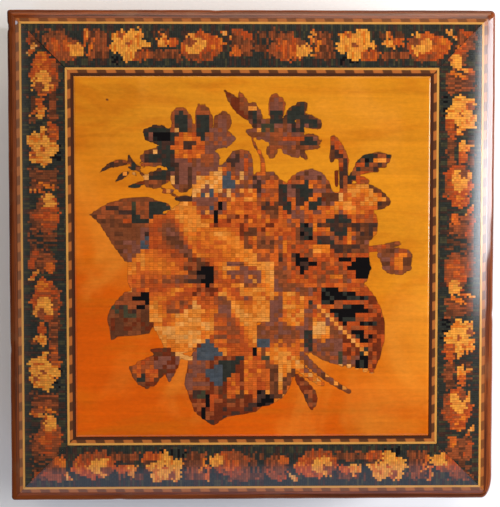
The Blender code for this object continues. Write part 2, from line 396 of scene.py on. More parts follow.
def draw_leaves(c):
    """The four large leaves round the bouquet, and the small one below."""
    c.figure("walnut walnut walnut laburnum", (-57, 15), (-53, 17.6), (-50, 19.2), (-46, 20.4), (-42, 21),
             (-36.5, 21.3), (-34, 20.2), (-29.4, 18.8), (-28.2, 17), (-31, 16.2), (-32.6, 13), (-35, 12.8),
             (-36, 11), (-36, 4), (-38.6, 2.8), (-42.6, -1.9), (-44.6, -1.2), (-48.5, 4), (-53.5, 12),
             (-55.6, 14))
    c.area("cherry cherry walnut", (-54, 14), (-36, 11), (-36, 22), (-50, 22))
    c.area("walnut laburnum walnut", (-52, 13), (-40, 8), (-40, 13.2), (-46, 14))
    c.area("walnut plum plum", (-46, 6), (-43, -3), (-36, 0), (-36, 10.5), (-41, 10))
    c.sticks("plum plum bluestain", -39.5, 2, -36, 7.5)
    c.sticks("fumed", -51, 16.2, -46.2, 17.4)
    c.sticks("fumed bogoak", -46.2, 14.8, -40.8, 16)
    c.sticks("greenoak", -42.2, 16.2, -40.6, 19.6)
    c.sticks("bogoak", -42.2, 11.8, -39, 14.4)
    c.sticks("bogoak", -40, 11.8, -34.8, 13)
    c.area("bogoak", (-36, 12), (-33, 12), (-28, 17.2), (-32, 20.2), (-36, 20))
    c.sticks("padauk", -44.6, 11.8, -42.4, 13.6)
    c.sticks("fumed", -38.4, 7.2, -36.4, 9.6)

    c.figure("walnut walnut mahogany", (-49.6, -29.2), (-47.4, -27.8), (-41, -27.4), (-36, -26.4),
             (-34.4, -22), (-35, -12), (-42, -11.6), (-44.6, -12), (-47.6, -15), (-50.2, -18.4),
             (-50.8, -21.5))
    c.area("cherry cherry walnut", (-50, -17.6), (-38, -17.6), (-38, -11), (-48, -11))
    c.area("greenoak laburnum fumed", (-50, -16.4), (-46, -16.4), (-41, -18), (-41, -20.4), (-46, -20.4))
    c.patch(c.oval(-46.6, -23, 1.7, 2.4), "laburnum")
    c.sticks("mahogany laburnum", -39.8, -26.4, -35.4, -17.6)
    c.area("laburnum walnut", (-50.4, -30), (-35, -27.6), (-35, -25.8), (-50.4, -26))
    for corners in ((-42.8, -14.6, -38, -13.4), (-39.8, -15.4, -36, -12), (-38.4, -16.8, -33.2, -14),
                    (-35, -15.2, -31.8, -13.9), (-41.2, -18.2, -38.2, -16.4)):
        c.lay(c.block(*corners), "ebony")

    c.figure("mahogany mahogany cherry", (-23.9, -44.6), (-22.6, -36), (-19.6, -31.4), (-15.8, -27.6),
             (-11.4, -33.6), (-2.4, -34.8), (2, -40), (6, -50), (1, -54.6), (-6, -55.6), (-10, -56.6),
             (-13.8, -59.4), (-17.4, -57), (-20.4, -54.4), (-21.8, -50.6))
    c.area("plum cherry plum", (-23.9, -47.5), (-23, -36), (-19.5, -31.5), (-16.4, -35), (-15.6, -47))
    c.sticks("cherry plum", -21, -45.2, -17, -41)
    c.area("bluestain", (-19.8, -36.6), (-18.6, -31), (-15.8, -27), (-11.2, -34), (-14.8, -37))
    c.area("bluestain", (-17.4, -41), (-12.8, -37.4), (-8.4, -38.6), (-9.4, -43.5), (-13, -45.4))
    c.area("bogoak", (-11.6, -36.4), (-2.2, -34.8), (-5.4, -38.2), (-8.4, -42), (-10.4, -45.4), (-11, -40))
    c.sticks("greenoak fumed", -21, -49, -16.4, -46)
    c.sticks("ebony", -18.2, -56.8, -16.2, -52.2)
    c.sticks("ebony", -16.4, -52.4, -14.7, -48.4)
    c.area("yew padauk satinwood", (-9.8, -47.8), (-7, -50.8), (-4.4, -46.6), (-5, -40), (-8.6, -41.8))
    c.patch(c.bar(-12, -46.4, -8, -51, 1.8), "laburnum")
    c.patch(c.bar(-8, -51, -3, -48, 1.8), "laburnum")
    c.patch(c.bar(-13.2, -49, -14.6, -54, 2.2), "padauk cherry")
    c.area("mahogany fumed mahogany mahogany", (-12, -51.5), (-6, -52.6), (1, -51.6), (5.6, -50),
           (1, -54.6), (-6, -55.8), (-10, -56.8), (-13.8, -59.6), (-16, -58))

    c.figure("mahogany cherry mahogany walnut", (15, -40.8), (17.4, -42.2), (19.8, -44.4), (21.9, -46.8),
             (23, -49.8), (22.3, -52.4), (20.8, -54.2), (19.2, -51.8), (18, -48.6), (16.2, -45.6),
             (15, -43.2))
    c.sticks("fumed laburnum", 17.6, -54.4, 20.2, -48.8)


def draw_right_leaf(c):
    """The largest leaf: dark bars above a pale dotted rib, and quiet plum wood below it."""
    outline = c.shape((26, -7), (21, -13), (19.6, -20), (19.4, -33), (25, -36.4), (31, -38.2), (37, -38.6),
                      (42.6, -40.4), (45, -35), (46.4, -29), (46.4, -23), (45.4, -18.6), (43, -13.8),
                      (39.8, -9.8))
    c.lay(outline, "padauk cherry padauk yew")
    c.area("mahogany cherry mahogany padauk", (40, -13), (43, -13), (47, -22), (46.4, -36), (42, -41),
           (40.6, -33), (42, -24))
    c.area("plum plum cherry walnut", (21, -15.5), (22.5, -17), (40, -34.5), (40, -41), (18, -41),
           (18, -20))
    for corners in (
        ((25, -9.4), (30.4, -11.4), (30.4, -15.6), (25, -16.6), (23.4, -15.6)),
        ((30.4, -12), (36.4, -12), (36.4, -13.4), (40.6, -13.4), (40.6, -14.8), (30.4, -14.8)),
        ((26.4, -18), (31, -18), (31, -16.4), (38, -16.4), (40.2, -18.6), (40.2, -19.8), (37, -20.2),
         (36, -22), (40.2, -22.2), (40.2, -23.2), (34, -23), (32, -24.4)),
        ((33.8, -25.6), (38, -25.4), (40, -28), (42.8, -27.6), (42.8, -29), (38.4, -30)),
        ((37, -23.2), (43, -23.2), (43, -24.2), (37, -24.2)),
        ((35.4, -38.8), (37.4, -34.6), (40, -31.4), (41.4, -32.6), (40.6, -39.6)),
    ):
        c.patch(np.maximum(c.shape(*corners), outline), "ebony ebony bogoak")
    c.area("yew padauk satinwood", (20.4, -16.6), (20.4, -23.4), (26.2, -23.6), (24.6, -20))
    c.area("boxwood satinwood boxwood holly", (20.8, -23.2), (21.4, -27.6), (24.4, -30.2), (27, -28),
           (26.8, -23.4))
    c.area("padauk mahogany cherry", (32.4, -27.4), (31.6, -33.4), (34, -36), (37.6, -34), (38, -32.4))
    c.patch(c.bar(29.8, -30.4, 31.2, -36, 2.2, 2), "greenoak plum")
    c.area("bogoak fumed", (18.8, -26), (20.4, -26), (22, -30), (20.4, -33.4), (18.6, -31))
    c.patch(c.bar(22.2, -16.6, 39.8, -33.6, 1.4, 1.2, 0.3), "boxwood holly boxwood")
    c.beads("holly boxwood", (0.9, 0.5), -14, (31.4, -38), (34, -38.6), (36.8, -39.2), (39.6, -40),
            (42, -40.6))


def draw_buds(c):
    """Buds at the lower left, at the right and at the foot, with their stems."""
    c.figure("yew padauk cherry", (-43.4, -38.4), (-41.6, -38), (-40.4, -36.6), (-37.4, -35.4),
             (-34.6, -34.2), (-36, -32.4), (-33, -31.8), (-28, -32.2), (-26.6, -34.4), (-25.4, -35.4),
             (-26.4, -39), (-29.2, -44), (-30.8, -41.2), (-32.2, -42.2), (-34.4, -45.2), (-37.4, -46.2),
             (-40.4, -44.4), (-42.4, -41.6))
    c.area("plum plum mahogany", (-36, -31), (-34.4, -38), (-32.4, -41.6), (-29, -45), (-25, -36),
           (-28, -31))
    c.sticks("mahogany laburnum", -36.4, -34.2, -27.6, -31.6)
    c.patch(c.bar(-43, -38.8, -37.6, -45.4, 2.3, 2.3, -1.2), "mahogany walnut")
    c.patch(c.bar(-37.4, -45.6, -31.8, -40, 2.2, 2.6, -1), "mahogany laburnum")
    c.patch(c.oval(-38.8, -42.4, 1.5, 1.4), "bogoak")
    c.lay(c.bar(-28, -33, -21.6, -32.2, 1.5, 1.3, 0.5), "mahogany laburnum")
    c.lay(c.bar(-26.2, -34.2, -22.6, -35.4, 1.6, 1.6), "holly")

    ragged = 0.9 * (c.chance - 0.5)
    c.lay(c.shape((43.8, 4.2), (46.4, 3.8), (50.6, 2.6), (50.2, -2), (49.4, -6), (47.2, -5.4), (45.4, -3),
                  (44.2, 0.6)) + ragged, "plum walnut laburnum")
    bud = c.oval(52.2, -1.4, 4, 4.8, -15)
    c.lay(bud + ragged, "laburnum walnut")
    c.grade(bud, 0.1 - 0.4 * bud, "laburnum walnut cherry padauk yew satinwood")
    c.area("walnut plum laburnum", (52.6, 0.2), (54.6, 0.8), (55.8, -3), (53.8, -5))
    c.lay(c.bar(46.8, 4.2, 51.2, 4.7, 1.6, 1.7), "walnut cherry")
    c.lay(c.bar(40.6, 2.8, 45.4, 3.4, 1.8, 2.2), "cherry padauk")

    c.lay(c.bar(16, -33, 34, -47.4, 3, 1.5, -1.2), "walnut boxwood plum")
    c.patch(c.bar(24.5, -42, 34, -47.4, 1.8, 1.6, -0.6), "walnut laburnum")
    c.lay(c.bar(15.6, -37.6, 24.4, -44.8, 3.4, 1.6, -0.4), "boxwood yew satinwood holly")
    c.figure("boxwood satinwood yew satinwood", (-2.6, -33), (2, -29), (16, -28.6), (16.4, -33),
             (15.2, -40), (12.6, -46.6), (10.6, -49.4), (6.4, -52), (2.4, -52.6), (0.8, -50), (-2.4, -47.4),
             (-3.4, -41))
    c.area("yew satinwood yew padauk", (-3, -47), (2, -49), (6, -46.6), (5.4, -38), (3, -33), (-2.6, -33))
    c.patch(c.bar(3, -30.4, 6.8, -40, 1.7, 1.7, -0.5), "walnut greenoak")
    c.patch(c.bar(7.3, -38.8, 7.6, -48.4, 2.4, 3), "laburnum walnut")
    c.area("laburnum walnut walnut", (9.4, -49.6), (12.8, -46), (15.6, -38.6), (13.6, -38.8), (11, -43))
    c.area("ebony fumed", (1.4, -53), (8.4, -52), (7.6, -47.6), (1.8, -47.4))
    c.patch(c.bar(9.4, -34, 9.5, -46, 1), "holly boxwood")


def draw_petunia(c):
    """The largest flower, pale orange, with veins out of a dark throat."""
    outline = c.shape((-36, 13.2), (-33, 15), (-30, 15.6), (-25, 19.4), (-21, 20), (-19.4, 18.4),
                      (-18.6, 15.4), (-14, 13), (-10, 12), (-4.4, 12), (-3, 7), (0, 2), (2.6, -1.4),
                      (7.6, -2.4), (8.2, -6), (7, -10), (7.6, -13), (6, -17), (6, -22.6), (1.4, -22.8),
                      (1.2, -31), (-1, -34.6), (-9, -35.2), (-11.4, -33), (-15.8, -28), (-21, -32.8),
                      (-26, -34), (-31, -31.6), (-33, -27.4), (-35.4, -23.4), (-36, -17), (-36, -12),
                      (-42.4, -11.6), (-43.8, -8), (-43.6, -2), (-41, 0.6), (-39, 3.4), (-36, 3.6))
    c.lay(outline, "boxwood")
    rays = ((130, 15, 0.95, 0.78), (146, 16, 1.2, 0.4), (188, 19, 0.95, 0.62), (160, 20, 0.5, 0.3),
            (221, 20, 0.72, 0.42), (-64, 13, 1.25, 0.52), (-22, 24, 0.8, 0.36), (62, 34, 0.5, 0.24),
            (95, 20, 0.6, 0.2), (-95, 40, 0.5, 0.35))
    tone = c.veins(-16.2, -6.6, 27, rays)
    c.grade(outline, 0.2 + 0.06 * np.clip((c.y + 8) / 16, 0, 1) + 0.9 * tone,
            "holly boxwood satinwood yew padauk cherry walnut laburnum")
    c.grade(np.maximum(outline, c.block(-37, -13, -28, 3.6)), 0.3 + 0.6 * tone - 0.4 * (c.streak - 0.5),
            "boxwood satinwood yew padauk cherry")
    c.grade(np.maximum(outline, c.shape((-12.4, -13), (-8.4, -13), (-8, -22), (-4, -27), (-5, -35),
                                        (-12, -33), (-15, -29), (-13, -22))),
            0.8 - 0.9 * np.abs(c.streak - 0.5) + 0.02 * (c.y + 26), "boxwood yew cherry walnut plum")
    c.grade(np.maximum(outline, c.shape((-9, -2), (-3, 1), (8, -2), (8.4, -6), (6.6, -14), (2, -17),
                                        (-3, -15), (-8, -10))),
            0.46 - 0.02 * (c.x - 1) - 0.012 * (c.y + 6) + 0.3 * (c.streak - 0.5) + 0.16 * (c.chance - 0.5),
            "holly boxwood boxwood satinwood yew cherry plum")
    c.grade(c.oval(-3.2, -5.6, 6.6, 3.8, -24), 0.54 + 0.6 * (c.streak - 0.5) + 0.9 * (c.chance - 0.5),
            "boxwood yew cherry walnut plum")
    c.grade(np.maximum(outline, c.shape((-35, -22), (-28, -20), (-20, -15.6), (-15.6, -20), (-16, -28),
                                        (-28, -34))),
            0.3 + 0.5 * (c.streak - 0.5) + 0.05 * np.clip(-26 - c.x, 0, 9) + 0.03 * np.clip(c.x + 20, 0, 9),
            "boxwood holly boxwood satinwood yew cherry")
    c.patch(np.maximum(outline, c.block(-44, -13, -37, -8)), "padauk yew cherry")
    c.sticks("yew", -41.2, -9, -39.6, -1.5)
    c.area("cherry yew walnut padauk", (-30.4, -15), (-22, -14), (-21, -17), (-25, -19.6), (-30, -19))
    c.area("cherry yew walnut padauk", (-34.8, -7), (-28, -6.4), (-26, -8), (-29, -9.8), (-34, -9.6))
    c.patch(c.oval(-19, -3.4, 4.4, 3.2, 8), "laburnum mahogany cherry")
    c.sticks("laburnum fumed laburnum", -23.4, -9, -19.8, -7.4)
    c.patch(c.oval(-16.6, -11.6, 6.4, 2), "padauk cherry padauk mahogany")
    c.patch(c.oval(-16, -6.4, 3.1, 3.6), "ebony")
    c.patch(c.oval(-18.4, -7.2, 1.2, 2), "fumed ebony")


def draw_middle(c):
    """Broken colour between the petunia and the flowers to its right."""
    c.figure("yew cherry satinwood yew", (-2, 0), (2, -2), (7, -3), (6, -22), (1.4, -24), (1.2, -30),
             (5, -31), (20, -34), (24, -28), (26, -8), (20, 6), (8, 10), (-4, 12))
    c.area("cherry plum walnut", (7.4, -2), (14, -6), (16, -10), (22, -10), (22, -14), (12, -12), (7, -12))
    c.area("yew satinwood boxwood", (10.2, -12.4), (10, -21), (14, -24), (19, -23), (19.2, -15), (14, -12))
    c.area("plum walnut plum", (6, -13), (6, -21), (9.6, -25), (10.2, -13))
    c.area("plum cherry walnut", (1.4, -23), (8, -23), (19.4, -24), (19.4, -29.4), (14, -28), (1.4, -29))
    c.patch(c.bar(19.8, -16.4, 19.2, -31.4, 1.7, 2.6), "walnut bogoak fumed")
    c.sticks("bluestain", 1.8, -31.2, 5.6, -29.2)
    c.sticks("ebony", -0.6, -34.6, 1.6, -31.8)
    c.sticks("fumed laburnum", 20.4, -13, 24, -10)


def draw_rose(c):
    """The red flower at the right, broken by dark patches round its centre."""
    c.figure("yew padauk cherry yew satinwood plum", (12, -8), (24, -10), (38, -10), (40, -8.4), (41.6, -4),
             (40.8, 1), (40.8, 5.4), (43.6, 8.6), (44, 12), (43.4, 14.4), (42, 17), (40.8, 22.6), (38, 23),
             (28, 23), (27, 26), (24.6, 29.4), (21, 31), (17.6, 30.6), (13.6, 28.4), (12.2, 26.4), (11, 14),
             (9, 4))
    c.area("padauk yew cherry padauk walnut", (12, -9), (41, -10), (42, 2), (30, 6), (11, 13))
    c.area("yew satinwood yew boxwood", (27, 23.2), (27, 17), (34, 15), (43, 16), (41, 23.2))
    c.area("cherry padauk yew", (35, 15.6), (35, 12), (44, 12), (42.6, 16))
    c.area("plum laburnum cherry", (17, 27), (20, 29), (20, 32), (28, 30), (29, 18), (26.4, 18), (25.6, 24),
           (23, 26.6))
    c.area("fumed plum", (20, 26.8), (25.4, 25.6), (24.4, 28.8), (22, 30), (20, 29.6))
    rim = c.oval(19.6, 22.2, 7.5, 8.6)
    c.patch(np.maximum(np.abs(rim + 1.2) - 1.4, 20.5 - c.y), "plum plum laburnum plum cherry")
    c.area("bogoak fumed", (14, 25), (16, 17), (19.6, 19.8), (20.6, 22), (19.8, 26.6), (15.4, 26.2))
    c.area("bogoak fumed bogoak", (8.4, 21.4), (10.6, 22.6), (12.4, 19.8), (14.2, 16.8), (13.6, 14.8),
           (11, 16.4), (9, 18.8))
    c.area("bogoak", (20, 19), (20.6, 15.2), (24, 18.4), (24, 20.4), (20.6, 20.2))
    c.sticks("mahogany", 24, 19.8, 26, 21.6)
    c.area("bogoak bogoak fumed", (26.2, 13.6), (26.4, 11), (29.6, 6.6), (31.4, 6.6), (33, 9), (35.2, 12),
           (34, 14), (30.6, 15.4))
    c.sticks("fumed laburnum", 23, 10.2, 43.8, 12)
    c.area("walnut laburnum laburnum fumed", (34, 10.4), (37.6, 5.6), (41, 5.6), (44.2, 10.4))
    c.sticks("bogoak fumed bogoak ebony", 16, 5.6, 20.8, 11.4)
    c.sticks("plum", 19.6, 9.8, 21.2, 11.6)
    c.area("bogoak fumed", (23, 7), (23.4, 4.8), (28, 2.2), (29.8, 3.4), (27, 6.8))
    c.sticks("fumed laburnum", 28.6, 2.2, 35.4, 4.2)
    c.patch(c.oval(37.6, 3.4, 3, 2.2), "fumed laburnum walnut")
    c.sticks("ebony", 30.6, -2.2, 34.4, -0.6)
    c.area("ebony", (33.4, -2.6), (37, -0.6), (41.8, -0.4), (41.8, -8.6), (36.4, -7.2), (36.4, -4.4),
           (33.4, -4))
    c.area("ebony fumed", (13.6, 1.2), (15, -2), (17.2, -5.8), (19.2, -3.4), (23, -3.4), (23, -2),
           (18.6, -0.2), (16.4, 1.4))
    c.sticks("ebony cherry", 30.4, -5.8, 33.6, -4.4)
    c.sticks("plum walnut", 25.6, -9.4, 34, -7.6)
    c.sticks("satinwood boxwood satinwood", 21.4, 0.8, 26.4, 4.4)
    c.sticks("satinwood", 27.2, -7.4, 31.6, -5.8)
    c.sticks("holly", 29.8, 20, 31.6, 22.6)
    c.sticks("laburnum", 27.8, 19.8, 30, 22.6)
    c.figure("cherry yew", (40, 22), (41, 17), (43.6, 16.6), (45.6, 17), (48.2, 18.4), (47.2, 21),
             (44, 22.6))
    c.area("fumed laburnum", (43.4, 16.6), (48.4, 17.8), (47.6, 20.8), (45, 20))
    c.figure("satinwood boxwood yew", (39.6, 25.4), (43.6, 24.4), (47.4, 20.8), (48.2, 18.4), (41, 16.6),
             (40, 21))
    c.area("fumed laburnum bogoak", (43.4, 16.6), (48.4, 17.8), (47.6, 20.8), (45, 20))
    c.lay(c.bar(40, 25.2, 47.8, 19.4, 1.2, 1.4, 0.9), "walnut laburnum")
    c.figure("boxwood satinwood", (33, 23), (41, 23), (40, 25.4), (34, 26))


def draw_heart(c):
    """The small dark-rimmed flower above the petunia, and the broken colour round it."""
    c.figure("yew satinwood padauk yew", (-21, 20), (-19, 14.6), (-13.6, 10), (-8, 10.4), (-2, 4), (8, 1),
             (14, 0), (14.4, 14), (12, 26), (0, 29), (-12, 26))
    c.area("plum plum walnut", (-21, 21), (-18, 15), (-12, 14), (-9, 20), (-10, 23), (-18, 23))
    c.area("plum bluestain plum boxwood plum cherry", (-21, 21), (-18, 15.4), (-12, 14.6), (-8.6, 17),
           (-8, 24), (-18, 24))
    c.sticks("ebony", -12.8, 16.8, -11.2, 19.2)
    c.sticks("ebony", -14, 11.8, -12, 16.4)
    c.sticks("mahogany padauk", -14, 10.4, -9.4, 12.2)
    c.sticks("mahogany cherry yew", -9.6, 12, -1.2, 15)
    c.sticks("mahogany", -5, 8.8, -3.4, 12)
    c.patch(c.bar(-4, 10, -1.6, 4.4, 1.9, 2.3), "mahogany walnut padauk")
    c.patch(c.oval(0, 8.4, 2.4, 1.6), "laburnum")
    c.area("laburnum cherry walnut", (1.4, 8.8), (1.2, 2.4), (7.8, 2.2), (8.8, 6.4), (4, 8.6))
    c.area("laburnum fumed walnut", (8.4, 4.4), (9, -1), (14, -2), (13, 3.8))
    c.sticks("mahogany", 2.4, 9.4, 4.2, 10.8)
    c.sticks("mahogany", 5.2, 10.6, 6.8, 12.6)
    c.sticks("boxwood", 9.8, 5.2, 12.8, 7.6)

    c.figure("yew padauk yew cherry", (-1, 20), (-0.6, 28), (1.4, 29.8), (7.4, 30), (9.6, 27.4),
             (12.6, 25.6), (14.6, 21), (14.4, 14), (8, 11.6), (3, 14), (-0.6, 16))
    c.area("plum walnut cherry", (-1, 25), (0, 29), (8, 30.4), (10, 26), (6, 27))
    c.area("plum fumed plum", (-1, 22.4), (-0.6, 28.4), (3.4, 28.6), (3.8, 23), (2, 21.6))
    c.area("bogoak fumed", (9.4, 20), (12.6, 15.4), (14.2, 15), (13.6, 21), (11.4, 25), (9.8, 25))
    c.area("fumed walnut laburnum", (2.4, 20), (3.6, 17), (6.4, 12.8), (9.6, 13), (9.4, 19.6), (6, 18.6))
    c.sticks("satinwood yew", 9.4, 13.4, 12.6, 17.2)

    c.figure("cherry plum walnut", (-10.2, 24), (-10, 33), (-7, 37), (-4, 37.8), (-1, 37), (0, 34),
             (0.4, 29), (-3, 22))
    c.patch(c.oval(-6.2, 33.4, 2.2, 2.4), "fumed plum")
    c.sticks("cherry padauk", -3.2, 29.6, -0.8, 35.4)
    c.sticks("holly", -4.8, 27.8, -3, 29.8)
    c.figure("cherry plum boxwood yew", (-20, 31.4), (-21.4, 21), (-12, 20.4), (-1, 19.6), (-4, 28),
             (-9, 32.6))
    c.area("boxwood holly boxwood satinwood", (-21, 21.4), (-17, 20.6), (-16.4, 24.8), (-12.4, 24),
           (-12, 29), (-14.6, 31), (-19.4, 31))
    c.area("bluestain", (-10.4, 24), (-6.6, 23.4), (-6.4, 27), (-8, 29.8), (-10.4, 29))
    c.sticks("bluestain plum plum holly", -17.4, 20.4, -13.2, 25)
    c.sticks("holly boxwood", -11.8, 23, -10.2, 29.6)
    c.sticks("plum cherry", -15.4, 31, -11.4, 36)
    c.sticks("holly", -9.6, 21.6, -8, 23.4)
    c.sticks("satinwood boxwood yew", -3, 20, 1, 23.4)


def draw_daisies(c):
    """Two dark daisies at the top: petals with brown rims and darker hearts, round an eye."""
    ragged = 0.8 * (c.chance - 0.5)
    c.lay(c.oval(-22.8, 37.4, 9.6, 9.8) + ragged, "plum walnut cherry")
    c.petals((
        (-32.2, 42.7, 5.8, 3.3, 170, "fumed bogoak bogoak ebony"),
        (-24.4, 47.2, 5, 3.8, 110, "cherry walnut bogoak bogoak"),
        (-17, 48, 5.6, 3.2, 98, "cherry walnut bogoak bogoak"),
        (-10.5, 47.3, 3, 3.4, 0, "walnut cherry plum"),
        (-33.4, 35.2, 5.6, 3.2, 8, "walnut laburnum fumed bogoak"),
        (-33.2, 27.6, 5, 3, 25, "laburnum fumed bogoak"),
        (-24.2, 28.6, 4.4, 5.8, 0, "plum plum fumed plum"),
        (-15.8, 34, 4.4, 4.4, 0, "plum plum cherry"),
    ), ragged)
    c.lay(c.shape((-15.6, 44.6), (-12, 45.6), (-9.4, 44.6), (-5.8, 41.8), (-7, 39.8), (-9.4, 38.4),
                  (-15, 38)) + ragged, "plum plum cherry")
    c.sticks("cherry cherry walnut", -19.4, 50, -15.4, 53.4)
    c.area("bogoak bogoak fumed", (-20, 46.4), (-17.8, 47.4), (-15.8, 41), (-18, 40.2))
    c.area("bogoak fumed bogoak", (-34, 41), (-28, 41.4), (-27, 36), (-25.8, 31.4), (-30, 29), (-32, 32))
    c.sticks("boxwood cherry satinwood plum", -30.4, 23.2, -27.2, 27.6)
    c.sticks("plum laburnum", -36.2, 40.6, -34.4, 43.6)
    c.sticks("cherry", -39, 31.6, -34, 33.2)
    c.sticks("cherry walnut laburnum", -38, 23, -31, 26.6)
    c.sticks("fumed plum", -26.6, 31.4, -21.4, 33.8)
    c.sticks("walnut laburnum", -26, 22.6, -21.6, 26)
    eye = c.oval(-22.2, 38.8, 5.8, 5)
    c.patch(eye + ragged, "yew padauk yew satinwood")
    c.grade(c.oval(-22.4, 39.4, 2.2, 1.9), 0.8, "walnut laburnum fumed")
    c.beads("holly", (0.9, 0.9), 0, (-26.6, 43.9), (-33.6, 37.4), (-28, 27.2), (-37.4, 28.4))

    c.lay(c.shape((-0.8, 44.2), (2.4, 42.4), (4.4, 40.6), (8.6, 38.2), (16.6, 38), (18.4, 42),
                  (17.4, 46.4), (12.6, 49), (5.8, 48.6), (2.6, 47.6)) + ragged, "plum walnut cherry plum")
    c.area("plum greenoak walnut", (2.2, 48), (8.4, 48), (8.4, 44.4), (3.4, 43.6))
    c.petals((
        (0.6, 49.4, 2.6, 4.6, 12, "walnut laburnum bogoak"),
        (8.2, 52, 3, 5, 0, "cherry walnut plum"),
        (15, 50.6, 4.8, 2.5, 40, "laburnum bogoak bogoak"),
        (19.8, 47.4, 4.9, 2.5, 160, "walnut laburnum bogoak"),
        (19.6, 40.4, 4.3, 3, 176, "walnut cherry fumed bogoak"),
        (1.4, 43.2, 3.8, 1.5, 164, "plum walnut"),
        (7, 37.6, 1.7, 3, 160, "walnut cherry"),
        (13.2, 37, 3.6, 1.6, 150, "plum walnut"),
        (16.8, 37, 3.4, 1.1, 128, "walnut laburnum"),
    ), ragged)
    c.sticks("bogoak bogoak fumed", 6.2, 47.4, 10.2, 50.6)
    c.area("bogoak", (11.2, 47.8), (13.4, 50.6), (16.4, 49.6), (14, 46.6))
    c.sticks("bogoak fumed plum", 14, 43.8, 19, 46.4)
    c.patch(c.oval(13.4, 41.6, 4, 1.4), "padauk cherry padauk")
    c.beads("boxwood", (0.8, 0.8), 0, (2, 44.6), (0, 52.2), (13.6, 51.6))
    c.lay(c.bar(-0.4, 42.8, 2.4, 36.6, 0.8, 0.9, -0.4), "walnut cherry")
    c.lay(c.bar(2.4, 37.2, 3.6, 29.6, 1, 2, 0.4), "cherry yew")


def draw_sprigs(c):
    """Twigs and small leaves round the edge."""
    for x0, y0, x1, y1, left, right, bend, woods in (
        (-0.6, 47.6, -9.9, 58.4, 1.4, 2.6, 0.5, "walnut mahogany"),
        (-1.6, 50, -4.8, 58.2, 1.7, 1.5, 0, "walnut cherry"),
        (-1, 49.6, -8.2, 54.4, 1.5, 1.4, 0, "mahogany walnut"),
        (-41.6, 32.8, -53.4, 29.6, 0.9, 1.2, -1.5, "laburnum fumed cherry"),
        (-42.8, 30, -47.8, 26.4, 0.9, 1, -0.3, "bogoak fumed"),
        (-37.6, 26.4, -43.4, 24.8, 0.9, 0.9, 0.3, "mahogany bogoak"),
        (-40, 30.6, -43.4, 36.2, 0.8, 0.9, 0.5, "laburnum fumed"),
        (-43.4, 31.4, -38.4, 31.2, 1.1, 0.9, 0.2, "laburnum bogoak"),
        (-31.8, 22.8, -27.4, 23.6, 0.8, 0.8, 0, "cherry"),
        (-20.6, 20.6, -27.4, 20.6, 1.3, 1.2, 0, "fumed"),
        (40.4, 35.4, 48.4, 35.2, 1.3, 0.9, 0.3, "laburnum walnut"),
        (41, 26.6, 34.4, 27.6, 1.2, 1.3, 0, "padauk cherry"),
    ):
        c.lay(c.leaf(x0, y0, x1, y1, left, right, bend), woods)
    for x0, y0, x1, y1, start, end, woods in (
        (-40.4, 31.2, -36.2, 26.6, 0.8, 0.7, "walnut"),
        (-32, 24.6, -25.6, 20.8, 0.7, 0.8, "cherry walnut"),
        (47.4, 34.8, 46.4, 33, 1.5, 1.4, "laburnum"),
        (42.6, 32, 46.2, 32, 1.5, 1.5, "mahogany walnut"),
        (41, 30.4, 43.6, 30.4, 1.5, 1.5, "mahogany laburnum"),
        (29.2, 30, 29.4, 25.4, 1.2, 1.2, "mahogany"),
        (33.6, 24.4, 34.8, 29, 1.5, 1.7, "fumed bogoak"),
        (-50.9, 55.2, -50.1, 54.8, 0.35, 0.3, "walnut"),
        (-48.4, 31.6, -46.6, 32.2, 0.7, 0.7, "boxwood"),
        (-44.6, 29, -43.4, 29.8, 0.7, 0.7, "boxwood"),
        (-41.6, 29.6, -40.6, 28.8, 0.7, 0.7, "holly"),
        (-39, 33, -37.8, 31.8, 0.7, 0.7, "boxwood"),
    ):
        c.lay(c.bar(x0, y0, x1, y1, start, end), woods)
    c.figure("padauk cherry cherry", (30.6, 23), (34.2, 22.8), (33.2, 29), (33.8, 34), (32, 38.4),
             (30.4, 40.8), (28.4, 43), (27.2, 42.2), (27.2, 38), (26.6, 35), (27.4, 32.8), (29, 34.6),
             (30, 34), (30.4, 28))
    c.patch(c.bar(27.8, 38.6, 30.4, 35.2, 2, 1.6), "fumed laburnum")
    c.sticks("laburnum", 26.6, 33, 28.2, 37)
    c.patch(c.bar(32.2, 33, 30.8, 25.6, 2.2, 1.8), "fumed mahogany")
    c.figure("bogoak walnut fumed cherry", (33.4, 27), (35.6, 26.6), (38, 29.2), (41.6, 29.6), (44.4, 31.2),
             (47.6, 33), (48.8, 35.8), (45, 36.2), (41.4, 36.4), (38.8, 35.8), (36, 33.2), (35.2, 30.6))
    c.patch(c.bar(37, 31.8, 42.6, 34.6, 2.2, 1.6), "bogoak bogoak ebony")
    c.patch(c.bar(42.8, 33.2, 45.6, 34.2, 1.6, 1.4), "satinwood boxwood")
    c.sticks("padauk mahogany", 36, 31.2, 38.6, 33.4)
    c.sticks("cherry padauk", 36.4, 26.8, 41.4, 29.4)


def draw_bouquet(c):
    """The whole bouquet, from the figures that lie lowest to those on top."""
    c.x, c.y = (c.x / BOUQUET_REACH, c.y / BOUQUET_REACH)
    draw_leaves(c)
    draw_buds(c)
    draw_middle(c)
    draw_petunia(c)
    draw_heart(c)
    draw_sprigs(c)
    draw_daisies(c)
    draw_rose(c)
    draw_right_leaf(c)


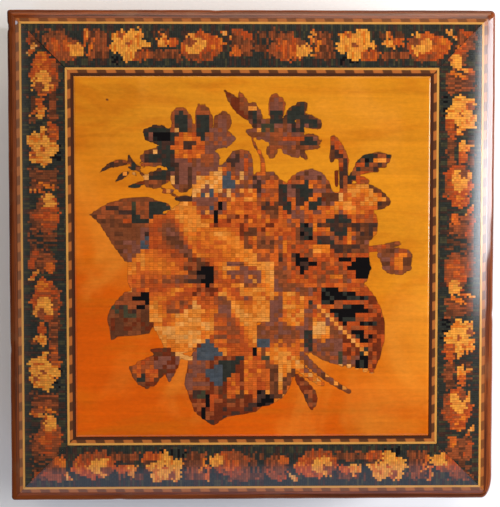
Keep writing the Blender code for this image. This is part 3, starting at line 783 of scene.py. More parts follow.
def draw_motif(c):
    """One repeat of the border: a yellow five-petalled flower, a bud, a second flower, leaves, a red flower.

    c.x runs along the border from the first flower's middle, c.y inwards from the border's outer line.
    """
    for x0, y0, x1, y1, woods in (
        (-36, 1.5, -28, 12.5, "laburnum bogoak walnut"),
        (-30, 0.6, -22, 7, "walnut cherry laburnum"),
        (-15, 0.8, -7.6, 12.6, "walnut cherry laburnum"),
        (-7, 10.4, 2, 13.8, "bogoak ebony"),
        (7.4, 1, 17.6, 4.2, "laburnum walnut bogoak"),
        (8, 8.6, 18.6, 12.6, "cherry walnut laburnum"),
        (34.6, 0.8, 42.4, 11.4, "walnut laburnum cherry"),
        (42, 1, 47.4, 8.6, "cherry walnut laburnum"),
    ):
        c.patch(c.block(x0, y0, x1, y1) + 1.1 * (c.streak - 0.3), woods)
    c.area("cherry padauk walnut cherry", (-31, 10), (-26, 13.2), (-20, 12.6), (-15.4, 9.6), (-17, 5.6),
           (-24, 2), (-28, 4))
    c.area("padauk yew cherry", (-27.4, 7), (-26, 12.6), (-20.6, 11.6), (-19, 8.6), (-22.6, 4.2),
           (-26, 4.6))
    c.area("boxwood barberry", (-21, 7.2), (-20.6, 11.4), (-16.4, 10.8), (-15.4, 7.8), (-17.4, 6.2))
    c.patch(c.bar(-15.2, 1.2, -15.8, 6.6, 1.3), "boxwood yew")
    c.patch(c.bar(-12.8, 4.6, -14.6, 10.4, 1.2), "yew satinwood")
    for x, y in ((-3.4, 3.4), (2, 3), (-4.2, 7.2), (-0.6, 10), (4, 7.4)):
        c.patch(c.oval(x, y, 2.8, 2.8), "barberry barberry boxwood barberry satinwood")
    c.patch(c.oval(0, 5.8, 3.6, 3), "barberry boxwood barberry")
    c.area("cherry yew", (-4.2, 1.4), (-1.4, 1.2), (-1.6, 3.4), (-3.6, 4.8))
    c.sticks("yew cherry", -1.4, 5.6, 0.6, 7)
    c.patch(c.bar(2.2, 2.4, 2.8, 6.6, 1), "yew satinwood")
    c.area("padauk yew cherry", (1.6, 9), (6.4, 8), (8.6, 9.4), (6.4, 12.8), (1.4, 12.8))
    c.patch(c.bar(3, 8.6, 6.4, 8.2, 1.2), "laburnum")

    c.sticks("boxwood barberry satinwood", 9, 4.4, 13.2, 7.2)
    c.patch(c.oval(14.6, 5.6, 2.2, 1.7), "padauk yew")
    c.patch(c.bar(10.8, 2.2, 12.6, 4.6, 1.4), "yew boxwood")

    c.patch(c.oval(24.6, 7.2, 7.4, 5.4), "padauk yew cherry padauk")
    c.area("barberry boxwood", (19, 2.4), (21.4, 1.8), (23, 3.6), (21, 4.4))
    c.area("barberry boxwood barberry", (19, 8), (20.6, 4.4), (24.6, 3.4), (26.6, 6.4), (24.6, 9.6),
           (20, 10.4))
    c.patch(c.oval(20.2, 5.2, 2, 1.7), "walnut cherry")
    c.area("yew padauk satinwood", (27, 4), (31, 3.6), (33, 6), (31.4, 8.6), (28, 8))
    c.area("cherry padauk walnut", (19, 10.6), (29, 9.6), (28, 13.2), (20, 13))
    c.patch(c.bar(24, 1.8, 27.4, 3.6, 1.6), "yew padauk")
    c.patch(c.bar(31.6, 0.8, 34.6, 3.8, 1.3), "boxwood yew holly")
    c.sticks("satinwood yew yew", 34.4, 7.2, 38, 10.6)
    c.patch(c.bar(36.6, 1.4, 41.6, 3.6, 2.4), "padauk cherry")
    c.sticks("yew padauk", 43, 3.8, 46.4, 7)


def draw_border(c, first):
    """A border strip's run of motifs, the first at this place, on a near-black ground broken by green."""
    c.patch(c.oval(0, 7, 200, 60), "bogoak bogoak greenoak bogoak fumed")
    run = c.x
    c.y = (c.y - MOTIF_EDGE) / MOTIF_DEPTH
    for repeat in (-1, 0, 1, 2):
        c.x = run - first - repeat * MOTIF_RUN
        draw_motif(c)
    c.x = run


def draw_side_band(c):
    """A plainer band: lozenges in light and dark woods between two boxwood edges."""
    c.patch(c.oval(0, 0, 400, 60), "fumed laburnum")
    across = np.abs(c.x / LOZENGE_RUN - np.round(c.x / LOZENGE_RUN)) * LOZENGE_RUN
    lozenge = across * LOZENGE_SLOPE + np.abs(c.y)
    for reach, woods in ((3.1, "cherry padauk"), (2.2, "boxwood satinwood"), (1.1, "laburnum")):
        c.patch(lozenge - reach, woods)
    corner = (LOZENGE_RUN / 2 - across) * LOZENGE_SLOPE + np.abs(np.abs(c.y) - 3)
    c.patch(corner - 1.2, "satinwood yew")


# Solid forms
def build_mesh(name, points, quads, corner_uv, caps=(), colours=None, floats=None):
    """A mesh of triangles from quads (corner numbers) and end caps, with its UV map and attributes.

    Points that coincide are merged and triangles without area are dropped, so clipped ends close.
    """
    _, first, merged = np.unique(np.round(points * 1e7).astype(np.int64), axis=0, return_index=True,
                                 return_inverse=True)
    merged = merged.reshape(-1)
    halves = ([0, 1, 2], [0, 2, 3])
    triangles = np.concatenate([merged[quads[:, half]] for half in halves])
    uv = np.concatenate([corner_uv[:, half] for half in halves])
    a, b, c = triangles.T
    whole = (a != b) & (b != c) & (a != c)
    triangles, uv = triangles[whole], uv[whole].reshape(-1, 2)
    faces = triangles.tolist()
    for cap in caps:
        ring = merged[cap]
        faces.append(ring[ring != np.roll(ring, 1)].tolist())
    mesh = bpy.data.meshes.new(name)
    mesh.from_pydata(points[first].tolist(), [], faces)
    total = len(mesh.loops)
    flat = np.zeros((total, 2))
    flat[: len(uv)] = uv
    mesh.uv_layers.new(name="plan").data.foreach_set("uv", flat.astype(np.float32).ravel())
    if colours is not None:
        per_face = np.concatenate([colours, colours])[whole]
        shade = np.ones((total, 4))
        shade[: len(uv), :3] = np.repeat(per_face, 3, axis=0)
        layer = mesh.color_attributes.new("woods", "FLOAT_COLOR", "CORNER")
        layer.data.foreach_set("color", shade.astype(np.float32).ravel())
    for key, values in (floats or {}).items():
        layer = mesh.attributes.new(key, "FLOAT", "POINT")
        layer.data.foreach_set("value", values[first].astype(np.float32))
    form = bmesh.new()
    form.from_mesh(mesh)
    bmesh.ops.recalc_face_normals(form, faces=form.faces)
    form.to_mesh(mesh)
    form.free()
    mesh.shade_smooth()
    mesh.set_sharp_from_angle(angle=SHARP_ANGLE)
    return mesh


def add_piece(node, mesh, material):
    """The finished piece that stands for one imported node."""
    mesh.materials.append(material)
    piece = bpy.data.objects.new(f"finished_{node}", mesh)
    bpy.context.scene.collection.objects.link(piece)
    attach(piece, BODY)
    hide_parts(node)
    return piece


def to_box(side, run, inset, height):
    """Points in the frame from run along a side seen from outside, distance in, and height."""
    turn = SIDES[side][0]
    half_across = HALF_Y if side in ("front", "back") else HALF_X
    across = inset - half_across
    x = run * cos(turn) - across * sin(turn)
    y = run * sin(turn) + across * cos(turn)
    return np.stack([x, y, np.broadcast_to(height, x.shape)], axis=-1)


def half_run(side):
    """Half of a side's whole length."""
    return HALF_X if side in ("front", "back") else HALF_Y


def loop_solid(name, points, run, girth, colours=None, unit=MM):
    """A solid from closed outlines, one at each station: points are (station, place on outline, axis).

    Its UV map is run and girth, counted in the unit.
    """
    stations, places = points.shape[:2]
    i, k = np.meshgrid(np.arange(stations - 1), np.arange(places), indexing="ij")
    after = (k + 1) % places
    here, there = i * places, (i + 1) * places
    quads = np.stack([here + k, here + after, there + after, there + k], axis=-1)
    along = np.stack([run[i, k], run[i, after], run[i + 1, after], run[i + 1, k]], axis=-1)
    round_it = np.stack([girth[k], girth[k + 1], girth[k + 1], girth[k]], axis=-1)
    uv = np.stack([along, round_it], axis=-1) / unit
    caps = (np.arange(places), (stations - 1) * places + np.arange(places))
    if colours is not None:
        colours = colours.reshape(-1, 3)
    return build_mesh(name, points.reshape(-1, 3), quads.reshape(-1, 4), uv.reshape(-1, 4, 2), caps, colours)


def girth_of(insets, heights):
    """Distance round a closed outline from its first place, with the whole way round at the end."""
    steps = np.hypot(np.diff(insets, append=insets[:1]), np.diff(heights, append=heights[:1]))
    return np.concatenate([[0.0], np.cumsum(steps)])


def worn_line(side, middle_steps):
    """A side's outer line from mitre to mitre: runs, and how far each lies in from the face.

    Each end is an ellipse's arc up to the mitre, where run and inset are as far from the sharp corner.
    Also gives the run of each end's mitre point, for each station.
    """
    turn, left, right = SIDES[side]
    flip = abs(cos(turn)) < 0.5
    ends = []
    for corner in (left, right):
        along, inward = CORNER_WEAR[corner][:: -1 if flip else 1]
        reach = (1 / along + 1 / inward - sqrt(2 / (along * inward))) / (1 / along**2 + 1 / inward**2)
        angle = np.linspace(0, np.arcsin(1 - reach / along), CORNER_STEPS)
        ends.append((half_run(side) - along + along * np.sin(angle), inward - inward * np.cos(angle)))
    middle = np.linspace(-ends[0][0][0], ends[1][0][0], middle_steps)[1:-1]
    run = np.concatenate([-ends[0][0][::-1], middle, ends[1][0]])
    inset = np.concatenate([ends[0][1][::-1], np.zeros(len(middle)), ends[1][1]])
    return run, inset, np.where(run < 0, ends[0][0][-1], ends[1][0][-1])


def carry_worn(name, side, inner, shares, heights, middle_steps=WALL_STATIONS, fret=0.0,
               colours=None, unit=MM):
    """An outline carried along a worn side, squeezed between its outer line and the straight inner line.

    shares run from 0 at the outer line to 1 at the inner one. fret is how far use has taken the outer
    surface back, as sines along the run. A nick is a bell-shaped dip.
    """
    line, push, mitre = worn_line(side, middle_steps)
    trim = (mitre - JOINT * sqrt(2)) / mitre
    squeeze = (half_run(side) - inner - JOINT * sqrt(2)) / mitre
    waves = (np.sin(line * pace + number * turn_seed(side)) for number, pace in enumerate(RUBBING_WAVES, 1))
    wave = 0.5 + sum(waves) / (2 * len(RUBBING_WAVES))
    push = push + fret * wave
    for place_side, place, length, depth in NICKS:
        if fret and place_side == side:
            push = push + depth * np.exp(-(((line - place) / length) ** 2))
    q = shares[None, :]
    run = line[:, None] * (trim[:, None] * (1 - q) + squeeze[:, None] * q)
    inset = push[:, None] * (1 - q) + inner * q
    lowered = heights[None, :] - fret * wave[:, None] * (heights > heights.max() - EDGE_ROUND)[None, :]
    points = to_box(side, run, inset, lowered)
    return loop_solid(name, points, run, girth_of(shares * inner, heights), colours, unit)


def turn_seed(side):
    """Where the waves of rubbing start on a side, in radians."""
    return 1.7 * list(SIDES).index(side)


def board_height(inset):
    """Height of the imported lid's surface: flat in the middle, falling evenly outside the border."""
    return LID_TOP - FALL * np.maximum(BORDER_LINE - inset, 0)


def lid_height(inset):
    """Height of the finished surface: as the board's at both ends of the fall, rounded by polishing between.

    The drop is the board's whole drop times a power of the share of the way out.
    """
    share = np.clip((BORDER_LINE - inset) / (BORDER_LINE - EDGE_LINE), 0, None)
    return LID_TOP - FALL * (BORDER_LINE - EDGE_LINE) * share**FALL_CURVE


def box_outline(width, low, high, groove=()):
    """An upright section with softened outer corners: shares and heights, from its lower outer corner up.

    A groove in its outer face is (low, high, depth).
    """
    soft = ARRIS / width
    angle = np.linspace(0, pi / 2, ARRIS_STEPS)
    turned, risen = 1 - np.sin(angle), 1 - np.cos(angle)
    cut = []
    if groove:
        bottom, top, depth = groove[0], groove[1], groove[2] / width
        cut = [(0.0, bottom), (depth, bottom), (depth, top), (0.0, top)]
    cut = np.array(cut).reshape(-1, 2)
    shares = np.concatenate([soft * turned, cut[:, 0], soft * turned[::-1], [1.0, 1.0]])
    heights = np.concatenate([low + ARRIS * risen, cut[:, 1], high - ARRIS * risen[::-1], [high, low]])
    return shares, heights


def moulding_outline(width, low, high):
    """The edge moulding's section: upright outside, then a quarter ellipse on top of the lid's own slope."""
    angle = np.linspace(0, pi / 2, MOULDING_STEPS)
    sloped = FALL * FALL_CURVE * width
    top = high - sloped * np.cos(angle) - (EDGE_ROUND - sloped) * (1 - np.sin(angle))
    shares = np.concatenate([[MOULDING_ARRIS, 0.0], 1 - np.cos(angle), [1.0]])
    heights = np.concatenate([[low, low + MOULDING_ARRIS * width], top, [low]])
    return shares, heights


def mitred_plate(name, side, outer, stations, insets, colours=None, unit=MM):
    """A strip of veneer whose stations stand square to its run and are clipped at the 45 degree mitres.

    Its upper surface follows the finished lid, its lower one lies a veneer's thickness below the board's.
    """
    ends = insets[[-1, 0]]
    across = np.concatenate([insets, ends])
    height = np.concatenate([lid_height(insets), board_height(ends) - VENEER])
    limit = half_run(side) - across[None, :] - JOINT * sqrt(2)
    run = np.clip(stations[:, None], -limit, limit)
    points = to_box(side, run, np.broadcast_to(across, run.shape), np.broadcast_to(height, run.shape))
    girth = np.concatenate([insets - outer, [0.0, 0.0, 0.0]])
    if colours is not None:
        plain = np.zeros((len(stations) - 1, len(across), 3))
        plain[:, : len(insets) - 1] = colours
        plain[:, len(insets) - 1:] = colours.mean(axis=(0, 1))
        colours = plain
    return loop_solid(name, points, run, girth, colours, unit)


def stick_colours(wood, seed, spread):
    """Each stick's colour: its wood's, a little lighter or darker and warmer or cooler than the next."""
    palette = bpy.context.scene.tunbridge_woods
    table = np.array([getattr(palette, name) for name in WOODS])
    draw = np.random.default_rng(seed)
    lift = 1 + spread * (2 * draw.random(wood.shape) - 1)
    warm = spread * WARMTH * (2 * draw.random(wood.shape) - 1)
    below = np.floor(wood).astype(int)
    above = np.minimum(below + 1, len(WOODS) - 1)
    share = (wood - below)[..., None]
    colour = (table[below] * (1 - share) + table[above] * share) * lift[..., None]
    colour[..., 0] *= 1 + warm
    colour[..., 2] *= 1 - warm
    return colour


def border_strip(side, pitch):
    """One strip of the mosaic border, a quad for each stick. Chance moves each stick's place a little."""
    outer, inner = BANDING_LINE + JOINT, BORDER_LINE - JOINT
    reach = half_run(side) - outer
    count = 2 * round(reach / pitch)
    step = 2 * reach / count
    stations = np.linspace(-reach, reach, count + 1)
    rows = int((inner - outer) / step)
    insets = np.append(outer + step * np.arange(rows + 1), inner)
    x, y = np.meshgrid((stations[:-1] + step / 2) / MM, (insets[:-1] + step / 2 - outer) / MM, indexing="ij")
    chart = Chart(-x, y, step / MM, "bogoak", SEED + len(side), (1, 3))
    ragged = np.random.default_rng(SEED + 3 + len(side)).normal(0.0, RAGGED, (2, *x.shape))
    chart.x, chart.y = chart.x + ragged[0], chart.y + ragged[1]
    draw_border(chart, MOTIF_FIRST[side])
    colours = stick_colours(chart.wood, SEED + ord(side[0]), BORDER_SPREAD)
    return mitred_plate(f"mosaic_border_{side}", side, outer, stations, insets, colours, step)


def banding_strip(kind, side, outer, inner):
    """One strip of made-up banding. Its rows and dashes are in its finish."""
    reach = half_run(side) - outer
    stations = np.linspace(-reach, reach, BANDING_STATIONS)
    insets = np.linspace(outer + JOINT, inner - JOINT, BANDING_LINES)
    return mitred_plate(f"{kind}_{side}", side, outer, stations, insets)


def side_band_strip(side, pitch):
    """The band let into a wall, a quad for each stick of its face."""
    low, high = GROOVE_LOW + JOINT, GROOVE_HIGH - JOINT
    rows = round((high - low) / pitch)
    edges = np.linspace(low, high, rows + 1)
    depth = VENEER / WALL_LINE
    shares = np.concatenate([np.zeros(rows + 1), [depth, depth]])
    heights = np.concatenate([edges, [high, low]])
    steps = round(2 * half_run(side) / pitch)
    line = worn_line(side, steps)[0]
    middle = (edges[:-1] + edges[1:]) / 2 - (low + high) / 2
    x, y = np.meshgrid((line[:-1] + line[1:]) / 2 / MM, middle / MM, indexing="ij")
    chart = Chart(x, y, pitch / MM, "laburnum", SEED)
    draw_side_band(chart)
    edge_row = np.abs(y) > (high - low) / 2 / MM - PALE_EDGE
    chart.wood = np.where(edge_row, WOOD_NUMBER["boxwood"], chart.wood)
    face = stick_colours(chart.wood, SEED + 5, SIDE_BAND_SPREAD)
    colours = np.zeros((len(line) - 1, len(shares), 3))
    colours[:, :rows] = face
    colours[:, rows:] = face.mean(axis=(0, 1))
    row = (high - low) / rows
    name = f"side_band_{side}"
    return carry_worn(name, side, WALL_LINE, shares, heights, steps, colours=colours, unit=row)


def panel_grid(half, step):
    """Grid lines across the panel: shares of a stick in the middle, closer over the rounded edge."""
    count = int((half - PANEL_EDGE_RUN) / step)
    middle = np.arange(-count, count + 1) * step
    edge = half - PANEL_EDGE_RUN * np.array(PANEL_EDGE_STEPS)
    return np.concatenate([-edge[::-1], middle, edge])


def bouquet_panel(pitch):
    """The lid's panel, with the bouquet's woods and sawn outlines on it.

    It is flat, and its edges are a quarter of an ellipse. Each stick has one colour, from a chart of the
    sticks' middles.
    """
    half_x, half_y = HALF_X - PANEL_LINE - JOINT, HALF_Y - PANEL_LINE - JOINT
    lines_x, lines_y = (panel_grid(half, pitch / STICK_STEPS) for half in (half_x, half_y))
    x, y = np.meshgrid(lines_x, lines_y, indexing="ij")
    edge = np.minimum(half_x - np.abs(x), half_y - np.abs(y))
    turned = np.clip(1 - edge / PANEL_EDGE_RUN, 0, 1)
    z = LID_TOP - PANEL_EDGE_DROP * (1 - np.sqrt(1 - turned**2))
    outlines = Chart(x / MM, y / MM, pitch / MM)
    draw_bouquet(outlines)

    middles = (np.arange(-PANEL_CELLS, PANEL_CELLS) + 0.5) * pitch / MM
    cell_x, cell_y = np.meshgrid(middles, middles, indexing="ij")
    cells = Chart(cell_x, cell_y, pitch / MM)
    draw_bouquet(cells)
    sticks = stick_colours(cells.wood, SEED, BOUQUET_SPREAD)
    column, row = (np.floor((lines[:-1] + lines[1:]) / 2 / pitch).astype(int) + PANEL_CELLS
                   for lines in (lines_x, lines_y))
    colours = sticks[column[:, None], row[None, :]]

    number = np.arange(x.size).reshape(x.shape)
    quads = np.stack([number[:-1, :-1], number[1:, :-1], number[1:, 1:], number[:-1, 1:]], axis=-1)
    quads = quads.reshape(-1, 4)
    rim = np.concatenate([number[:-1, 0], number[-1, :-1], number[:0:-1, -1], number[0, :0:-1]])
    low = x.size + np.arange(len(rim))
    skirt = np.stack([rim, low, np.roll(low, -1), np.roll(rim, -1)], axis=-1)
    top = np.stack([x, y, z], axis=-1).reshape(-1, 3)
    under = top[rim] * (1, 1, 0) + (0, 0, LID_TOP - VENEER)
    points = np.concatenate([top, under])
    every = np.concatenate([quads, skirt])
    uv = points[every][..., :2] / pitch
    seams = seam_distance(x / MM, y / MM, pitch / MM)
    floats = {
        "cut": np.concatenate([outlines.cut.ravel(), np.full(len(rim), CLEAR)]),
        "seam": np.concatenate([seams.ravel(), np.full(len(rim), CLEAR)]),
    }
    shade = np.concatenate([colours.reshape(-1, 3), np.full((len(skirt), 3), SKIRT_SHADE)])
    return build_mesh("bouquet_panel", points, every, uv, (low,), shade, floats)


def seam_distance(x, y, pitch):
    """Distance to the nearest of the fine joints between blocks of mosaic."""
    chart = Chart(x, y, pitch)
    nearest = np.full(x.shape, FAR)
    for (x0, y0), (x1, y1) in SEAMS:
        nearest = np.minimum(nearest, np.abs(chart.bar(x0, y0, x1, y1, 0.0)))
    return nearest


# Finishes
class Signal:
    """A number or vector in a finish's nodes. Arithmetic on it adds Math nodes."""

    def __init__(self, recipe, socket):
        self.recipe, self.socket = recipe, socket

    def maths(self, operation, other=0.0, turned=False):
        pair = (other, self) if turned else (self, other)
        return self.recipe.node("ShaderNodeMath", {"operation": operation}, {0: pair[0], 1: pair[1]})

    def __add__(self, other):
        return self.maths("ADD", other)

    def __sub__(self, other):
        return self.maths("SUBTRACT", other)

    def __rsub__(self, other):
        return self.maths("SUBTRACT", other, True)

    def __mul__(self, other):
        return self.maths("MULTIPLY", other)

    def __truediv__(self, other):
        return self.maths("DIVIDE", other)

    def __lt__(self, other):
        return self.maths("LESS_THAN", other)

    __radd__ = __add__
    __rmul__ = __mul__


class Recipe:
    """One finish: a Principled shader and the nodes that lead to it."""

    def __init__(self, name, coat=0.0, coat_roughness=0.1):
        self.material = bpy.data.materials.new(name)
        self.material.use_nodes = True
        self.tree = self.material.node_tree
        self.shader = self.tree.nodes["Principled BSDF"]
        self.shader.inputs["Coat Weight"].default_value = coat
        self.shader.inputs["Coat Roughness"].default_value = coat_roughness
        if coat:
            self.shader.inputs["Specular IOR Level"].default_value = 0.0

    def node(self, kind, settings=None, inputs=None, output=0):
        """Any node: its settings first, then the values or links of its sockets."""
        made = self.tree.nodes.new(kind)
        for key, value in (settings or {}).items():
            if key == "stops":
                ramp = made.color_ramp
                while len(ramp.elements) < len(value):
                    ramp.elements.new(1.0)
                for stop, (place, colour) in zip(ramp.elements, value):
                    stop.position, stop.color = place, (*colour, 1.0)
            else:
                setattr(made, key, value)
        for key, value in (inputs or {}).items():
            self.join(made.inputs[key], value)
        return Signal(self, made.outputs[output])

    def join(self, socket, value):
        if isinstance(value, Signal):
            self.tree.links.new(value.socket, socket)
        elif hasattr(value, "__len__") and len(value) == 3 and socket.type == "RGBA":
            socket.default_value = (*value, 1.0)
        else:
            socket.default_value = value

    def plan(self):
        """The piece's own UV map."""
        return self.node("ShaderNodeUVMap", {"uv_map": "plan"})

    def place(self):
        """The place on the piece, in metres."""
        return self.node("ShaderNodeTexCoord", output="Object")

    def parts(self, vector):
        split = self.node("ShaderNodeSeparateXYZ", inputs={0: vector}).socket.node
        return [Signal(self, socket) for socket in split.outputs]

    def scaled(self, vector, scale, shift=(0.0, 0.0, 0.0)):
        return self.node("ShaderNodeMapping", inputs={"Vector": vector, "Scale": scale, "Location": shift})

    def noise(self, vector, scale, detail=3.0, roughness=0.5, distortion=0.0, shift=(0.0, 0.0, 0.0)):
        """Smooth noise from 0 to 1, as fine as scale, one number or one along each axis."""
        scale = scale if isinstance(scale, tuple) else (scale, scale, scale)
        return self.node("ShaderNodeTexNoise", {"noise_dimensions": "3D"},
                         {"Vector": self.scaled(vector, scale, shift), "Scale": 1.0, "Detail": detail,
                          "Roughness": roughness, "Distortion": distortion})

    def fade(self, value, low, high):
        """0 below low, 1 above high, smooth between; turned round when low is above high."""
        return self.node("ShaderNodeMapRange", {"interpolation_type": "SMOOTHSTEP"},
                         {"Value": value, "From Min": low, "From Max": high})

    def ramp(self, value, *stops):
        return self.node("ShaderNodeValToRGB", {"stops": stops}, {0: value})

    def mix(self, factor, first, second):
        return self.node("ShaderNodeMix", {"data_type": "RGBA"}, {0: factor, 6: first, 7: second}, 2)

    def shade(self, colour, amount):
        """A colour made darker or lighter by a number."""
        grey = self.node("ShaderNodeCombineXYZ", inputs={0: amount, 1: amount, 2: amount})
        return self.node("ShaderNodeVectorMath", {"operation": "MULTIPLY"}, {0: colour, 1: grey})

    def attribute(self, name, output="Fac"):
        return self.node("ShaderNodeAttribute", {"attribute_name": name}, output=output)

    def finish(self, colour, roughness, height=None, relief=0.0, coat=None):
        self.join(self.shader.inputs["Base Color"], colour)
        self.join(self.shader.inputs["Roughness"], roughness)
        if coat is not None:
            self.join(self.shader.inputs["Coat Weight"], coat)
        if height is not None:
            bump = self.node("ShaderNodeBump", inputs={"Height": height, "Distance": relief})
            self.join(self.shader.inputs["Normal"], bump)
        return self.material


def near_line(recipe, value, width):
    """1 on the joints between sticks, 0 inside them, for a place counted in sticks."""
    off = (value.maths("FRACT") - 0.5).maths("ABSOLUTE")
    return recipe.fade(off, 0.5 - width, 0.5 - width * 0.35)


def varnish_haze(recipe, place):
    """Uneven wear of the old varnish: broad soft clouds, fine scratches, as roughness from 0.2 to 0.5."""
    clouds = recipe.noise(place, 42, 4.0, 0.6)
    rubs = recipe.noise(place, (900, 90, 300), 2.0, 0.6)
    return 0.24 + 0.22 * clouds + 0.08 * rubs


def rosewood(name, colours, seed):
    """Rosewood: black and red streaks along the run, open pores, lighter where the edge is rubbed."""
    recipe = Recipe(name, 1.0, 0.1)
    plan = recipe.plan()
    place = recipe.place()
    figure = recipe.noise(plan, (0.011, 0.42, 1.0), 5.0, 0.62, 0.6, shift=(seed, seed, 0))
    streaks = recipe.noise(plan, (0.03, 2.6, 1.0), 3.0, 0.6, shift=(0, seed, 0))
    colour = recipe.ramp(0.62 * figure + 0.38 * streaks, (0.34, colours.rosewood_dark),
                         (0.47, colours.rosewood_middle), (0.56, colours.rosewood_light),
                         (0.66, colours.rosewood_middle))
    pores = recipe.fade(recipe.noise(plan, (0.28, 7.5, 1.0), 2.0, 0.7), 0.60, 0.70)
    colour = recipe.shade(colour, 1.0 - 0.45 * pores)
    rubbed = recipe.fade(recipe.noise(place, 60, 4.0, 0.65), 0.52, 0.72)
    colour = recipe.mix(rubbed * 0.55, colour, colours.rosewood_worn)
    dents = recipe.noise(place, 160, 3.0, 0.6)
    height = 0.5 * dents - 0.5 * pores + 0.2 * streaks
    varnish = 0.62 + 4.5 * recipe.parts(place)[0]
    roughness = varnish_haze(recipe, place) + 0.12 * rubbed
    return recipe.finish(colour, roughness, height, ROSEWOOD_RELIEF, varnish)


def banding(name, sizes, colours, rows, contrast):
    """Made-up banding: rows across it, as (kind, outer edge) in millimetres from its outer line."""
    recipe = Recipe(name, 0.8, 0.14)
    plan = recipe.plan()
    place = recipe.place()
    u, v = recipe.parts(plan)[:2]
    v = v + 0.14 * (recipe.noise(place, 260, 2.0) - 0.5)
    phase = (u / (2 * sizes.dash / MM) + 0.05 * v + 0.05 * recipe.noise(place, 30)).maths("FRACT")
    grain = recipe.noise(plan, (0.5, 6.0, 1.0), 3.0)
    tone = recipe.noise(place, 75, 4.0, 0.7)
    off = (phase - 0.5).maths("ABSOLUTE")
    share = 0.5 + contrast * (recipe.fade(off, 0.21, 0.29) - 0.5)
    dashes = recipe.mix(share, colours.dash_light, colours.dash_dark)
    woods = {"dashes": dashes, "line": colours.boxwood_line, "dark": colours.dark_line}
    colour = woods[rows[0][0]]
    for kind, edge in rows[1:]:
        colour = recipe.mix(recipe.fade(v, edge - 0.05, edge + 0.05), colour, woods[kind])
    colour = recipe.shade(colour, 0.62 + 0.36 * grain + 0.42 * tone)
    flat = recipe.scaled(place, (1, 1, 0))
    # The chip at the back left corner: a real dent in the bump, and a bluish white painted highlight on its
    # bare wood
    off_chip = recipe.node("ShaderNodeVectorMath", {"operation": "DISTANCE"}, {0: flat, 1: (*CHIP, 0)}, 1)
    chipped_and_lit = recipe.fade(off_chip + 0.4 * CHIP_REACH * (tone - 0.5), CHIP_REACH, 0.5 * CHIP_REACH)
    colour = recipe.mix(chipped_and_lit * 0.7, colour, colours.chip_highlight)
    height = grain - 2.0 * chipped_and_lit + recipe.noise(place, 140, 3.0)
    return recipe.finish(colour, varnish_haze(recipe, place), height, BANDING_RELIEF)


def stick_mosaic(name, joint_shade, open_mitre_shade=False):
    """Mosaic of end-grain sticks: each stick's wood, fine joints between them, under old varnish."""
    recipe = Recipe(name, 0.9, 0.13)
    place = recipe.place()
    u, v = recipe.parts(recipe.plan())[:2]
    joints = near_line(recipe, u, 0.20).maths("MAXIMUM", near_line(recipe, v, 0.12) * 0.4)
    end_grain = recipe.noise(place, 2600, 2.0)
    colour = recipe.shade(recipe.attribute("woods", "Color"), 0.88 + 0.24 * end_grain - joint_shade * joints)
    if open_mitre_shade:
        # Painted shade: the open mitre's gap is drawn dark on the flat surface, which has no gap
        x, y = recipe.parts(place)[:2]
        off = (x + y - (HALF_Y - HALF_X)).maths("ABSOLUTE")
        gap_shade = recipe.fade(off, OPEN_MITRE, 0.5 * OPEN_MITRE) * recipe.fade(x, *OPEN_MITRE_FADE)
        colour = recipe.shade(colour, 1.0 - 0.9 * gap_shade * (x < OPEN_MITRE_END))
    uneven = recipe.noise(place, 210, 3.0)
    return recipe.finish(colour, varnish_haze(recipe, place), uneven - 0.3 * joints, MOSAIC_RELIEF)


def bouquet_finish(colours):
    """The panel: satinwood grain outside the sawn outlines, mosaic inside them, dark glue in the joints."""
    recipe = Recipe("bouquet_panel_finish", 0.6, 0.12)
    place = recipe.place()
    u, v = recipe.parts(recipe.plan())[:2]
    x, y = recipe.parts(place)[:2]

    grain = recipe.noise(place, (14, 300, 1), 4.0, 0.65, 0.6)
    bands = recipe.noise(place, (13, 50, 1), 4.0, 0.6, 1.9)
    glow = recipe.noise(place, (34, 26, 1), 3.0, 0.55, 0.6, shift=(0.9, 0.2, 0))
    speckle = recipe.noise(place, (500, 900, 1), 2.0, 0.6)
    clouds = recipe.noise(place, (22, 30, 1), 3.0, 0.55)
    low = recipe.fade(y + 0.03 * (clouds - 0.5) + 0.5 * x, 0.035, -0.05)
    ground = recipe.mix(low, colours.satinwood_back, colours.satinwood_front)
    ground = recipe.mix(recipe.fade(bands, 0.42, 0.68) * 0.55, ground, colours.satinwood_deep)
    ground = recipe.mix(recipe.fade(glow, 0.46, 0.72) * 0.38, ground, colours.satinwood_pale)
    ground = recipe.shade(ground, 0.33 + 0.52 * grain + 0.40 * clouds + 0.30 * speckle)

    cut = recipe.attribute("cut")
    rows = near_line(recipe, v * 2.0, 0.16)
    joints = near_line(recipe, u, 0.11).maths("MAXIMUM", near_line(recipe, v, 0.11))
    end_grain = recipe.noise(place, (900, 1300, 900), 3.0, 0.7)
    uneven_glue = recipe.fade(recipe.noise(place, (160, 260, 100), 2.0), 0.3, 0.62)
    pale = recipe.fade(recipe.attribute("woods"), 0.03, 0.16)
    dark = (joints * (0.02 + 0.16 * uneven_glue) + rows * (0.04 + 0.20 * uneven_glue)) * (0.2 + pale)
    half = recipe.node("ShaderNodeCombineXYZ", inputs={0: u.maths("FLOOR"), 1: (v * 2.0).maths("FLOOR")})
    board = recipe.node("ShaderNodeTexWhiteNoise", {"noise_dimensions": "2D"}, {"Vector": half})
    lift = 0.56 + 0.24 * board + 0.80 * end_grain
    mosaic = recipe.shade(recipe.attribute("woods", "Color"), lift - dark)
    inside = recipe.fade(cut, 0.05, -0.05)
    colour = recipe.mix(inside, ground, mosaic)
    glue = recipe.fade(cut.maths("ABSOLUTE"), 0.22, 0.03)
    seam = recipe.fade(recipe.attribute("seam"), 0.16, 0.04)
    colour = recipe.shade(colour, 1.0 - 0.34 * glue - 0.5 * seam)

    uneven = recipe.noise(place, 70, 3.0, 0.55)
    fine = recipe.noise(place, 520, 2.0, 0.6)
    height = uneven + 0.16 * fine - 0.12 * glue - 0.08 * joints * inside - 0.3 * seam
    return recipe.finish(colour, varnish_haze(recipe, place), height, PANEL_RELIEF)


